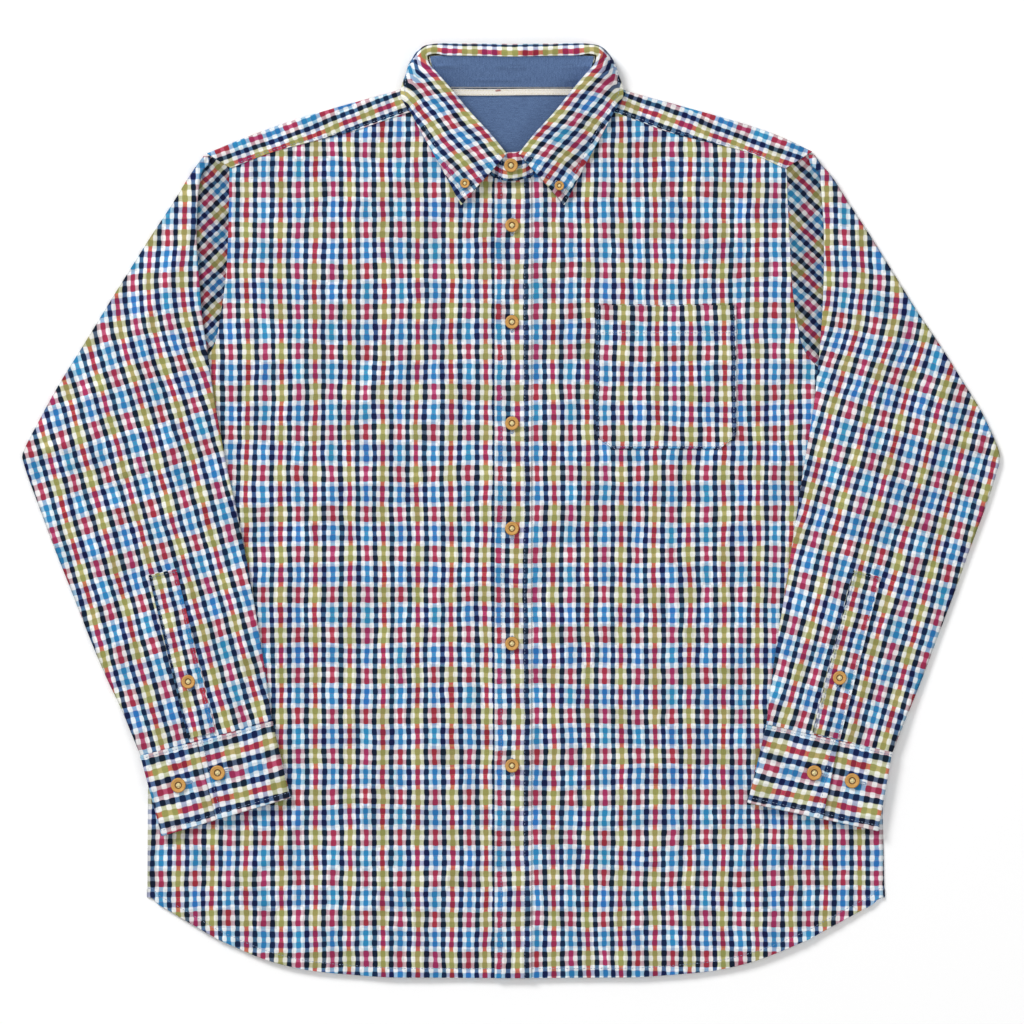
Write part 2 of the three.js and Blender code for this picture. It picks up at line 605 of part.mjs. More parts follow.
// ---- collar ----
const mirrored = (row) => ({ ...row, bx: -row.bx, tx: -row.tx });
const bandRows = [
  ...BAND_END_UNDER.slice().reverse(),
  ...BAND.slice().reverse().map(mirrored),
  ...BAND.slice(1),
  ...BAND_END_OVER,
];
const bandGrid = [0, 1, 2, 3].map((j) =>
  bandRows.map((r) => {
    const v = j / 3;
    const bow = Math.sin(Math.PI * v);
    return V(lerp(r.bx, r.tx, v), lerp(r.by, r.ty, v), lerp(r.bz, r.tz, v) + 0.5 * bow);
  }),
);
const bandNormals = gridNormals(bandGrid, () => false);
// The normal that points away from the neck.
const bandSign = bandNormals[1][bandRows.length >> 1].y > 0 ? 1 : -1;
const bandPly = (shift) =>
  bandGrid.map((row, j) => row.map((p, i) => p.clone().addScaledVector(bandNormals[j][i], bandSign * shift)));
const plyShift = (BAND_PLY + LAYER_GAP) / 2;
sheet("collar_band", bandPly(plyShift), BAND_PLY, CHECK);
sheet("collar_band_facing", bandPly(-plyShift), BAND_PLY, CHAMBRAY);

const leafRows = [
  ...LEAF_ROWS.slice().reverse().map((r) => ({ ...r, side: -1 })),
  ...LEAF_ROWS.slice(1).map((r) => ({ ...r, side: 1 })),
];
// The wearer's left half of the leaf stands a little further out at the front.
const leafX = (r, x) => r.side * x + (r.side > 0 ? 1.2 * smooth((400 - r.fy) / 80) : 0);
function leafPoint(r, t) {
  const p0 = [r.fx, r.fy, r.fz];
  const back = r.ez < 5 ? 1 : 0;
  const p1 = [r.fx + r.rx, r.fy + r.ry, r.fz + (back ? 5 : 1.2)];
  const p2 = [r.ex + r.sx, r.ey + r.sy, r.ez + (back ? -2.6 : 3)];
  const p3 = [r.ex, r.ey, r.ez];
  const b = [(1 - t) ** 3, 3 * (1 - t) ** 2 * t, 3 * (1 - t) * t * t, t ** 3];
  const c = [0, 1, 2].map((k) => b[0] * p0[k] + b[1] * p1[k] + b[2] * p2[k] + b[3] * p3[k]);
  return V(leafX(r, c[0]), c[1], c[2]);
}
const LEAF_STEPS = 7;
const leafGrid = [];
for (let j = 0; j <= LEAF_STEPS; j += 1) {
  leafGrid.push(leafRows.map((r) => leafPoint(r, j / LEAF_STEPS)));
}
sheet("collar_leaf", leafGrid, LEAF, CHECK);

// ---- sleeves ----
const TUCK_R = 0.8;
const EDGE_R = 1.3;
const EDGE_TURN = 2.1;
function arc(points, from, to, count, reach = 1e9) {
  // Half turn in the vertical plane from one plan point and height up or down to another.
  const mid = (from.z + to.z) / 2;
  const r = Math.abs(to.z - from.z) / 2;
  for (let n = 1; n <= count; n += 1) {
    const a = (Math.PI * n) / (count + 1);
    const o = Math.min(r, reach) * Math.sin(a);
    const z = mid + (to.z > from.z ? -1 : 1) * r * Math.cos(a);
    points.push(V(from.x + from.outX * o, from.y + from.outY * o, z));
  }
}

function sleeveGrid(side) {
  const s = SIDES[side];
  const sign = side === "right" ? -1 : 1;
  const table = SLEEVES[side];
  const hole = s.armhole;
  const yokeFoot = rollFoot(side, 0);
  const grid = table.map((r, n) => {
    // The armhole ends of this row, front and back, set off from the panels by the seam gap.
    const k = UNDERARM_ROW - n;
    let front = null;
    let rear = null;
    if (n < 2) {
      const f = n === 0 ? 0.12 : 0.65;
      const edge = [yokeFoot, s.yokeSeam[0]];
      const rearEdge = [yokeFoot, seamEnd[side]];
      const nf = planNormal(edge, 0);
      const nr = planNormal(rearEdge, 0);
      const g = SEAM_GAP + 0.1;
      const sf = Math.sign(nf.x * sign) || 1;
      const sr = Math.sign(nr.x * sign) || 1;
      front = V(lerp(edge[0].x, edge[1].x, f) + sf * nf.x * g, lerp(edge[0].y, edge[1].y, f) + sf * nf.y * g, PANEL_Z);
      rear = V(lerp(edge[0].x, seamEnd[side].x, f * 0.8) + sr * nr.x * g, lerp(edge[0].y, seamEnd[side].y, f * 0.8) + sr * nr.y * g, FLOOR_Z);
    } else if (n <= UNDERARM_ROW) {
      const nrm = planNormal(hole, k);
      const flip = nrm.x * hole[k].x + nrm.y * hole[k].y > 0 ? 1 : -1;
      const g = SEAM_GAP + (n === UNDERARM_ROW ? 0.5 : 0);
      const px = hole[k].x + flip * nrm.x * g;
      const py = hole[k].y + flip * nrm.y * g;
      const z = k === 0 ? SIDE_ROLL : panelHeight(hole[k].x, hole[k].y);
      front = V(px, py, z);
      const backY = n === 2 ? BACK_SEAM_Y : n === 3 ? 256 : py;
      const backX = n <= 3 ? hole[6].x + (n === 2 ? seamEnd[side].x - hole[6].x : 0) + sign * g : px;
      rear = V(backX, backY, FLOOR_Z);
    }
    const inner = V(r.ix, r.iy, 0);
    const far = V(r.ox, r.oy, 0);
    const span = inner.distanceTo(far);
    const dir = far.clone().sub(inner).normalize();
    const points = [];
    const lowZ = FLOOR_Z + r.lift;
    const held = (x, y) => {
      // Lowest height over the body for a layer lying on the front panel.
      const over = onFronts(x, y);
      return over + CLOTH + LAYER_GAP + 0.3;
    };
    const edgeX = sideX(side, r.iy);
    const bodyUnder = (x, y) => {
      let best = 0;
      for (const [dx, dy] of [[0, 0], [5, 0], [-5, 0], [0, 6], [0, -6]]) {
        best = Math.max(best, heightOn(fronts[side], x + dx, y + dy, 2) ?? 0);
      }
      return best;
    };
    // The point of this row a distance outside the body's side edge.
    const crossing = (outside) => {
      const t = (edgeX + sign * outside - inner.x) / dir.x;
      return V(inner.x + dir.x * t, inner.y + dir.y * t, 0);
    };
    let tuckTop = 0;
    if (n <= UNDERARM_ROW) {
      const hx = r.hx;
      const hy = r.hy;
      const toward = V(hx - front.x, hy - front.y, 0);
      const reach = toward.length();
      toward.normalize();
      const sz = Math.min(front.z, 3.6);
      const tuckR = n >= 7 ? 1.3 : TUCK_R;
      const end = Math.max(reach - tuckR - FLOOR_Z, reach * 0.5);
      for (const t of [0, 0.34, 0.68, 1]) {
        const z = lerp(front.z, sz, smooth(t * 1.3));
        points.push(V(front.x + toward.x * end * t, front.y + toward.y * end * t, z));
      }
      tuckTop = sz + 2 * tuckR;
      const from = { x: front.x + toward.x * end, y: front.y + toward.y * end, z: sz, outX: toward.x, outY: toward.y };
      arc(points, from, { z: tuckTop }, 3);
      points.push(V(from.x, from.y, tuckTop));
    } else {
      // Below the underarm the tuck is gone; these points are not used.
      for (let m = 0; m < 7; m += 1) points.push(V(r.ix, r.iy, 0));
      const begin = r.step ? crossing(-2) : inner.clone().addScaledVector(dir, r.seamIn);
      begin.z = Math.max(held(begin.x, begin.y), SIDE_ROLL + 2);
      points.push(begin);
    }
    // The middle layer runs back to the fold edge.
    const start = points[points.length - 1];
    const edgeFold = n < 2 ? 0.8 : EDGE_R;
    const foldIn = edgeFold + FLOOR_Z;
    const stop = V(inner.x + dir.x * foldIn, inner.y + dir.y * foldIn, 0);
    const heights = [];
    for (const t of [0.33, 0.67, 1]) {
      const x = lerp(start.x, stop.x, t);
      const y = lerp(start.y, stop.y, t);
      const z = Math.max(
        n > UNDERARM_ROW ? start.z : lerp(tuckTop, PANEL_Z + CLOTH + LAYER_GAP + 0.15, n < 5 ? 0 : smooth(t * 1.6)),
        bodyUnder(x, y) > 0 ? bodyUnder(x, y) + CLOTH + LAYER_GAP + 0.3 : 0,
      );
      heights.push(z);
      points.push(V(x, y, z));
    }
    // The tuck's start may not lie below what the layer passes over.
    const foldZ = heights[2];
    const topZ = foldZ + 2 * edgeFold;
    arc(points, { x: stop.x, y: stop.y, z: foldZ, outX: -dir.x, outY: -dir.y }, { z: topZ }, 3);
    // The upper layer.
    const edgeR = Math.min((r.top - lowZ) / 2, EDGE_TURN);
    const edgeIn = edgeR + FLOOR_Z;
    const rim = V(far.x - dir.x * edgeIn, far.y - dir.y * edgeIn, 0);
    const steps = 9;
    const wide = smooth((span - 25) / 60);
    for (let m = 0; m <= steps; m += 1) {
      const t = m / steps;
      const x = lerp(stop.x, rim.x, t);
      const y = lerp(stop.y, rim.y, t);
      let z = lerp(topZ, r.top, smooth(t)) + 2.2 * wide * Math.sin(Math.PI * Math.min(t * 1.1, 1)) ** 1.2;
      for (const f of SLEEVE_FOLDS) {
        const u = (n - f.row) / f.rows;
        const w = (t - f.at - f.slant * (n - f.row)) / f.share;
        z += f.high * wide * Math.exp(-(u ** 4) - w * w) * smooth(t * 8) * smooth((1 - t) * 6);
      }
      const below = bodyUnder(x, y);
      const under = below > 0 ? below + 2 * CLOTH + 1.6 : 0;
      points.push(V(x, y, Math.max(z, under)));
    }
    // Down at the outer edge and back along the floor.
    const brink = { x: rim.x, y: rim.y, z: r.top, outX: dir.x, outY: dir.y };
    arc(points, brink, { z: lowZ }, 4, edgeR);
    points.push(V(rim.x, rim.y, lowZ));
    if (n <= UNDERARM_ROW) {
      if (n === UNDERARM_ROW) rear.set(hole[0].x + sign * 1.2, hole[0].y + 1.8, FLOOR_Z);
      const run = Math.hypot(rear.x - rim.x, rear.y - rim.y);
      // Near the underarm the layer meets the armhole square on.
      const w = V((rim.x - rear.x) / run, (rim.y - rear.y) / run, 0);
      if (n >= 6) {
        const nrm = planNormal(hole, k);
        const flip = nrm.x * hole[k].x + nrm.y * hole[k].y > 0 ? 1 : -1;
        w.add(V(flip * nrm.x, flip * nrm.y, 0)).normalize();
      }
      for (const left of [Math.min(13, run * 0.6), Math.min(2.4, run * 0.3), 0]) {
        points.push(V(rear.x + w.x * left, rear.y + w.y * left, rear.z));
      }
    } else {
      // Where the row crosses the body's side edge.
      const sideZ = SIDE_ROLL + 2.1;
      const far1 = crossing(15);
      far1.z = Math.max(lowZ, lerp(lowZ, sideZ, 0.05));
      const reach = rim.distanceTo(inner);
      if (far1.clone().setZ(0).distanceTo(inner) > reach - 4) {
        far1.set(rim.x - dir.x * 1.5, rim.y - dir.y * 1.5, lerp(lowZ, sideZ, 0.2));
      }
      points.push(far1);
      if (r.step) {
        const z = r.step === "floor" ? FLOOR_Z : sideZ;
        for (const outside of [3.4, 1.4]) points.push(crossing(outside).setZ(z));
      } else {
        points.push(crossing(1.8).setZ(sideZ));
        points.push(start.clone().addScaledVector(dir, SEAM_GAP));
      }
    }
    return points;
  });
  return grid;
}
const TUCK_CELLS = 7;
const sleeves = {};
for (const side of ["right", "left"]) {
  sleeves[side] = sleeveGrid(side);
  sheet("sleeve_" + side, sleeves[side], CLOTH, CHECK, (i, j) => i < TUCK_CELLS && j >= UNDERARM_ROW);
}
const UPPER_FROM = 14;
const UPPER_TO = 23;
const onSleeve = (side, x, y) => heightOn(sleeves[side], x, y, UPPER_FROM, UPPER_TO);

// ---- sleeve plackets ----
const sleevePlackets = {};
for (const side of ["right", "left"]) {
  const p = SLEEVE_PLACKETS[side];
  const run = V(p.bx - p.tx, p.by - p.ty, 0);
  const across = V(-run.y, run.x, 0).normalize();
  const grid = [];
  for (let j = 0; j <= 8; j += 1) {
    const t = j / 8;
    const row = [];
    for (let i = 0; i <= 3; i += 1) {
      const o = lerp(-p.half, p.half, i / 3);
      const cut = side === "right" ? -0.26 : 0.26;
      const x = p.tx + run.x * t + across.x * o;
      const y = p.ty + run.y * t + across.y * o + (t > 0.9 ? 0 : 0) + cut * 0;
      const z = onSleeve(side, x, y);
      row.push(V(x, y, (z ?? 10) + CLOTH + LAYER_GAP + 0.35));
    }
    grid.push(row);
  }
  sleevePlackets[side] = grid;
  sheet("sleeve_placket_" + side, grid, CLOTH, CHECK);
}

// ---- cuffs ----
const cuffTops = {};
for (const side of ["right", "left"]) {
  const c = CUFFS[side];
  const rows = [];
  for (let j = 0; j <= 3; j += 1) {
    const v = j / 3;
    const a = V(lerp(c.top[0].x, c.foot[0].x, v), lerp(c.top[0].y, c.foot[0].y, v), 0);
    const b = V(lerp(c.top[1].x, c.foot[1].x, v), lerp(c.top[1].y, c.foot[1].y, v), 0);
    const dir = b.clone().sub(a);
    const span = dir.length();
    dir.normalize();
    const at = (t) => a.clone().addScaledVector(dir, t * span);
    const low = 7.2;
    const mid = low + 2 * 1.45;
    const top = mid + CUFF + LAYER_GAP + 0.2;
    const points = [];
    const put = (t, z) => {
      const p = at(t);
      points.push(V(p.x, p.y, z));
    };
    const inFar = (1.45 + CUFF / 2) / span;
    const topR = (top - low) / 2;
    const inNear = (topR + CUFF / 2) / span;
    for (const t of [CUFF_UNDERLAP_AT, 0.5, 0.75, 1 - inFar]) put(t, mid);
    const far = at(1 - inFar);
    arc(points, { x: far.x, y: far.y, z: mid, outX: dir.x, outY: dir.y }, { z: low }, 3);
    for (const t of [1 - inFar, 0.66, 0.33, inNear]) put(t, low);
    const near = at(inNear);
    arc(points, { x: near.x, y: near.y, z: low, outX: -dir.x, outY: -dir.y }, { z: top }, 3);
    for (const t of [inNear, 0.2, 0.38, CUFF_EDGE_AT]) put(t, top);
    rows.push(points);
  }
  cuffTops[side] = rows;
  sheet("cuff_" + side, rows, CUFF, CHECK);
}

// ---- buttons ----
function button(name, x, y, z, r, thick, tiltX = 0, tiltY = 0) {
  const rings = [
    { r: 0.86, h: 0 },
    { r: 1, h: 0.35 },
    { r: 1, h: 0.7 },
    { r: 0.86, h: 1 },
    { r: 0.7, h: 0.78 },
  ];
  const around = 14;
  const positions = [];
  const triangles = [];
  for (const ring of rings) {
    for (let n = 0; n < around; n += 1) {
      const a = (2 * Math.PI * n) / around;
      const dx = ring.r * r * Math.cos(a);
      const dy = ring.r * r * Math.sin(a);
      positions.push(V(x + dx, y + dy, z + ring.h * thick + tiltX * dx + tiltY * dy));
    }
  }
  const foot = positions.push(V(x, y, z)) - 1;
  const face = positions.push(V(x, y, z + 0.74 * thick)) - 1;
  for (let n = 0; n < around; n += 1) {
    const m = (n + 1) % around;
    triangles.push(foot, m, n);
    for (let k = 0; k < rings.length - 1; k += 1) {
      const a = k * around + n;
      const b = k * around + m;
      triangles.push(a, b, b + around, a, b + around, a + around);
    }
    const top = (rings.length - 1) * around;
    triangles.push(face, top + n, top + m);
  }
  return addMesh(name, positions, triangles, WOOD);
}

// Highest point of a sheet's top face under a disc.
function underDisc(height, x, y, r, half) {
  let best = -1e9;
  for (let n = 0; n <= 12; n += 1) {
    const a = (2 * Math.PI * n) / 12;
    const o = n === 12 ? 0 : r;
    const z = height(x + o * Math.cos(a), y + o * Math.sin(a));
    if (z !== null) best = Math.max(best, z);
  }
  return best + half;
}

BUTTON_ROWS.forEach((y, n) => {
  const z = underDisc((px, py) => heightOn(placket, px, py), PLACKET_MID, y, BUTTON_R, CLOTH / 2);
  button("button_" + (n + 1), PLACKET_MID, y, z + LAYER_GAP, BUTTON_R, BUTTON_T);
});
button("button_band", -0.9, 304.4, 15.4, BUTTON_R, BUTTON_T, 0, 0.14);
for (const side of ["right", "left"]) {
  const sign = side === "right" ? -1 : 1;
  const x = side === "right" ? -41.4 : 41.6;
  const y = side === "right" ? 288.6 : 286.5;
  const z = underDisc((px, py) => heightOn(leafGrid, px, py), x, y, POINT_BUTTON_R, LEAF / 2);
  button("button_point_" + side, x, y, z + 0.5, POINT_BUTTON_R, 2, 0, 0);
  const p = SLEEVE_PLACKETS[side];
  const bx = side === "right" ? -284.3 : 287.6;
  const by = side === "right" ? -149 : -145.6;
  const bz = underDisc((px, py) => heightOn(sleevePlackets[side], px, py), bx, by, BUTTON_R, CLOTH / 2);
  button("button_sleeve_" + side, bx, by, bz + LAYER_GAP, BUTTON_R, BUTTON_T);
  const near = side === "right" ? { x: -258.5, y: -229 } : { x: 265.4, y: -229 };
  const far = side === "right" ? { x: -293, y: -240 } : { x: 298.8, y: -236 };
  const topZ = 7.2 + 2.9 + CUFF + LAYER_GAP + 0.2 + CUFF / 2;
  const midZ = 7.2 + 2.9 + CUFF / 2;
  button("button_cuff_" + side + "_1", near.x, near.y, topZ + LAYER_GAP, CUFF_BUTTON_R, BUTTON_T);
  button("button_cuff_" + side + "_2", far.x, far.y, midZ + LAYER_GAP, CUFF_BUTTON_R, BUTTON_T);
}

export default group;
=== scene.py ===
"""A long-sleeved checked shirt with a button-down collar, laid flat on its back."""

import logging
import math
from collections.abc import Callable, Sequence
from dataclasses import dataclass, field
from enum import Enum

import bpy
import numpy as np
from mathutils import Matrix, Vector


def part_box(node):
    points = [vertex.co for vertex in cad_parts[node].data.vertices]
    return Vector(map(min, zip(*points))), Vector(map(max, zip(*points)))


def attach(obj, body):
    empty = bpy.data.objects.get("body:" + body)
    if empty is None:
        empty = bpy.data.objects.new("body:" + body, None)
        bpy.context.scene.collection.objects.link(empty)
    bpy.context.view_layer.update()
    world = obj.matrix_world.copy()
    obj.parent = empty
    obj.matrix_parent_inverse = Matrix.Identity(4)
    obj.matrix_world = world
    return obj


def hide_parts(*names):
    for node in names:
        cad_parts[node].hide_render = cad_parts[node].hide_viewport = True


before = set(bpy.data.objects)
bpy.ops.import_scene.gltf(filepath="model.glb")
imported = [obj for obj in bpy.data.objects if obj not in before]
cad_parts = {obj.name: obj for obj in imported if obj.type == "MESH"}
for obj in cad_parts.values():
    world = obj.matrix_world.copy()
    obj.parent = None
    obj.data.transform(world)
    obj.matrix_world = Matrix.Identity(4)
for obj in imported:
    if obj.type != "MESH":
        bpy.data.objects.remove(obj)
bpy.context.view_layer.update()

log = logging.getLogger("shirt")

MM = 0.001
# The tables are drawn about the placket; the frame's origin is the middle of the footprint.
TABLE_SHIFT = np.array([0.75, -0.94, -0.15])

Array = np.ndarray
Point = tuple[float, float]


class Side(Enum):
    """The wearer's side; its value is the sign of X."""

    RIGHT = -1
    LEFT = 1

    @property
    def word(self) -> str:
        """The side's word in the names of the nodes."""
        return self.name.lower()


class Edge(Enum):
    """A side of a sheet's grid: across is along a row, down is from row to row."""

    ACROSS_START = "i0"
    ACROSS_END = "i1"
    DOWN_START = "j0"
    DOWN_END = "j1"


# Small geometry


def smooth(t: Array | float) -> Array | float:
    """Eases from 0 to 1.

    Args:
        t: The share, clipped to 0 and 1.

    Returns:
        The eased share.
    """
    c = np.clip(t, 0.0, 1.0)
    return c * c * (3.0 - 2.0 * c)


def lerp(a: float, b: float, t: float) -> float:
    """The value a share t of the way from a to b."""
    return a + (b - a) * t


def table_y(table: Sequence[Point], x: float) -> float:
    """The height of a plan curve at x, straight between its points."""
    return float(np.interp(x, [p[0] for p in table], [p[1] for p in table]))


def plan_normal(points: Sequence[Point], k: int) -> Point:
    """The left unit normal of a plan polyline.

    Args:
        points: The polyline.
        k: The vertex.

    Returns:
        The normal's x and y.
    """
    a, b = points[max(k - 1, 0)], points[min(k + 1, len(points) - 1)]
    dx, dy = b[0] - a[0], b[1] - a[1]
    d = math.hypot(dx, dy)
    return -dy / d, dx / d


def grid_normals(grid: Array, live: Array) -> Array:
    """Unit normals of a grid of points.

    Args:
        grid: Points by row and column.
        live: Which cells hold cloth.

    Returns:
        One normal a point.
    """
    across = grid[1:, 1:] - grid[:-1, :-1]
    back = grid[1:, :-1] - grid[:-1, 1:]
    cell = np.cross(across, back)
    size = np.linalg.norm(cell, axis=2, keepdims=True)
    cell = cell / np.maximum(size, 1e-12) * live[:, :, None]
    out = np.zeros_like(grid)
    for rows in (slice(None, -1), slice(1, None)):
        for cols in (slice(None, -1), slice(1, None)):
            out[rows, cols] += cell
    return out / np.maximum(np.linalg.norm(out, axis=2, keepdims=True), 1e-12)


def pchip(values: Array, knots: Array, at: Array) -> Array:
    """A smooth curve through points that never overshoots them.

    Args:
        values: Points along the first axis.
        knots: The place of each point.
        at: The places to read.

    Returns:
        The values read, along the first axis.
    """
    shape = (-1,) + (1,) * (values.ndim - 1)
    h = np.diff(knots).reshape(shape)
    delta = np.diff(values, axis=0) / h
    slope = np.zeros_like(values)
    if len(knots) > 2:
        w1, w2 = 2 * h[1:] + h[:-1], h[1:] + 2 * h[:-1]
        same = delta[:-1] * delta[1:] > 0
        safe_a = np.where(same, delta[:-1], 1.0)
        safe_b = np.where(same, delta[1:], 1.0)
        slope[1:-1] = np.where(same, (w1 + w2) / (w1 / safe_a + w2 / safe_b), 0.0)
    slope[0], slope[-1] = delta[0], delta[-1]
    k = np.clip(np.searchsorted(knots, at, side="right") - 1, 0, len(knots) - 2)
    hk = np.diff(knots)[k].reshape(shape)
    t = (at - knots[k]).reshape(shape) / hk
    t2, t3 = t * t, t * t * t
    return (
        (2 * t3 - 3 * t2 + 1) * values[k]
        + (t3 - 2 * t2 + t) * hk * slope[k]
        + (3 * t2 - 2 * t3) * values[k + 1]
        + (t3 - t2) * hk * slope[k + 1]
    )


def stations(
    grid: Array, axis: int, step: float, near: Sequence[float], far: Sequence[float]
) -> tuple[Array, Array]:
    """Places along one axis of a control grid, in chord length.

    Args:
        grid: The control grid.
        axis: 0 from row to row, 1 along a row.
        step: The widest spacing, mm.
        near: Extra places, as distances from the start.
        far: Extra places, as distances from the end.

    Returns:
        The control points' places and the fine places.
    """
    d = np.linalg.norm(np.diff(grid, axis=axis), axis=2)
    mean, most = d.mean(axis=1 - axis), d.max(axis=1 - axis)
    knots = np.concatenate([[0.0], np.cumsum(np.maximum(mean, 1e-3))])
    at = [0.0]
    for a, b, m in zip(knots[:-1], knots[1:], most):
        n = max(2 if m < 4 else 1, math.ceil(m / step))
        at.extend(a + (b - a) * np.arange(1, n + 1) / n)
    keep = set(np.round(knots, 6))
    extra = list(near) + [knots[-1] - e for e in far]
    fine = [t for t in at if round(t, 6) in keep or all(abs(t - e) > 0.45 for e in extra)]
    fine += [e for e in extra if all(abs(e - t) > 1e-3 for t in fine)]
    return knots, np.array(sorted(fine))


def refine(
    grid: Array,
    step: float,
    across: tuple[Sequence[float], Sequence[float]] = ((), ()),
    down: tuple[Sequence[float], Sequence[float]] = ((), ()),
) -> tuple[Array, Array, Array]:
    """A fine, smooth grid through a control grid.

    Args:
        grid: The control grid, mm.
        step: The widest spacing, mm.
        across: Extra places along a row, from its start and its end.
        down: Extra places from row to row, from the start and the end.

    Returns:
        The fine grid, and each fine row's and column's place in control rows and columns.
    """
    kj, tj = stations(grid, 0, step, *down)
    ki, ti = stations(grid, 1, step, *across)
    rows = pchip(grid, kj, tj)
    fine = pchip(rows.transpose(1, 0, 2), ki, ti).transpose(1, 0, 2)
    return fine, np.interp(tj, kj, np.arange(len(kj))), np.interp(ti, ki, np.arange(len(ki)))


def run_length(grid: Array, axis: int) -> Array:
    """Length along each row (axis 1) or column (axis 0) up to each point."""
    d = np.linalg.norm(np.diff(grid, axis=axis), axis=2)
    pad = ((0, 0), (1, 0)) if axis == 1 else ((1, 0), (0, 0))
    return np.pad(np.cumsum(d, axis=axis), pad)


class Relief:
    """Reads the height of a control grid over a plan point."""

    def __init__(self, grid: Array, start: int = 0, stop: int | None = None) -> None:
        """Takes the grid's triangles.

        Args:
            grid: The control grid, mm.
            start: First column.
            stop: Column after the last one.
        """
        g = grid[:, start:stop]
        a, b, c, d = (x.reshape(-1, 3) for x in (g[:-1, :-1], g[:-1, 1:], g[1:, 1:], g[1:, :-1]))
        self.p = np.concatenate([a, a])
        self.q = np.concatenate([b, c])
        self.r = np.concatenate([c, d])

    def at(self, x: float, y: float) -> float | None:
        """The highest middle surface over a point.

        Args:
            x: Plan x.
            y: Plan y.

        Returns:
            Its height, or None outside the grid.
        """
        p, q, r = self.p, self.q, self.r
        det = (q[:, 0] - p[:, 0]) * (r[:, 1] - p[:, 1]) - (r[:, 0] - p[:, 0]) * (q[:, 1] - p[:, 1])
        fine = np.abs(det) > 1e-9
        safe = np.where(fine, det, 1.0)
        s = ((x - p[:, 0]) * (r[:, 1] - p[:, 1]) - (r[:, 0] - p[:, 0]) * (y - p[:, 1])) / safe
        t = ((q[:, 0] - p[:, 0]) * (y - p[:, 1]) - (x - p[:, 0]) * (q[:, 1] - p[:, 1])) / safe
        hit = fine & (s > -1e-6) & (t > -1e-6) & (s + t < 1 + 1e-6)
        if not hit.any():
            return None
        z = p[:, 2] + s * (q[:, 2] - p[:, 2]) + t * (r[:, 2] - p[:, 2])
        return float(z[hit].max())


@dataclass(frozen=True)
class Crease:
    """A soft ridge with a shallow trough beside it, mm and degrees."""

    x: float
    y: float
    turn: float
    long: float
    wide: float
    high: float
    bend: float = 0.0

    def lift(self, x: Array, y: Array) -> Array:
        """The cloth's rise at plan points.

        Args:
            x: Plan x.
            y: Plan y.

        Returns:
            The rise, mm.
        """
        a = math.radians(self.turn)
        u = ((x - self.x) * math.cos(a) + (y - self.y) * math.sin(a)) / self.long
        w = ((y - self.y) * math.cos(a) - (x - self.x) * math.sin(a)) / self.wide - self.bend * u * u
        return self.high * np.exp(-(u**4)) * (np.exp(-w * w) - 0.3 * np.exp(-((w - 1.7) ** 2)))


def creases(*rows: tuple[float, ...]) -> tuple[Crease, ...]:
    """Creases from rows of their values."""
    return tuple(Crease(*row) for row in rows)


def pucker(along: Array, away: Array, high: float, phase: float = 0.0) -> Array:
    """Fine gathers beside a sewn seam.

    Args:
        along: Distance along the seam, mm.
        away: Distance from it, mm.
        high: Their height, mm.
        phase: Shifts them along the seam.

    Returns:
        The rise, mm.
    """
    s = along + phase
    wave = np.sin(2 * math.pi * s / 8.7 + 1.9 * np.sin(2 * math.pi * s / 47.0))
    swell = 0.55 + 0.45 * np.sin(2 * math.pi * s / 33.0 + 1.0)
    return high * wave * swell * np.exp(-np.maximum(away - 1.0, 0) / 7.0)


def unevenness(x: Array, y: Array) -> Array:
    """The faint all-over waviness of laid cotton, mm."""
    a = np.sin(x / 17.0 + 1.3 * np.sin(y / 41.0)) * np.sin(y / 23.0 + 0.9 * np.sin(x / 53.0 + 2.0))
    b = np.sin((x + 0.6 * y) / 9.1 + np.sin(y / 19.0)) * np.sin((y - 0.4 * x) / 12.7 + 1.1)
    return 0.34 * a + 0.16 * b


# A sheet of cloth


def placed(name: str, data: bpy.types.ID) -> bpy.types.Object:
    """Makes an object of a mesh, camera or light and puts it in the scene."""
    made = bpy.data.objects.new(name, data)
    bpy.context.scene.collection.objects.link(made)
    return made


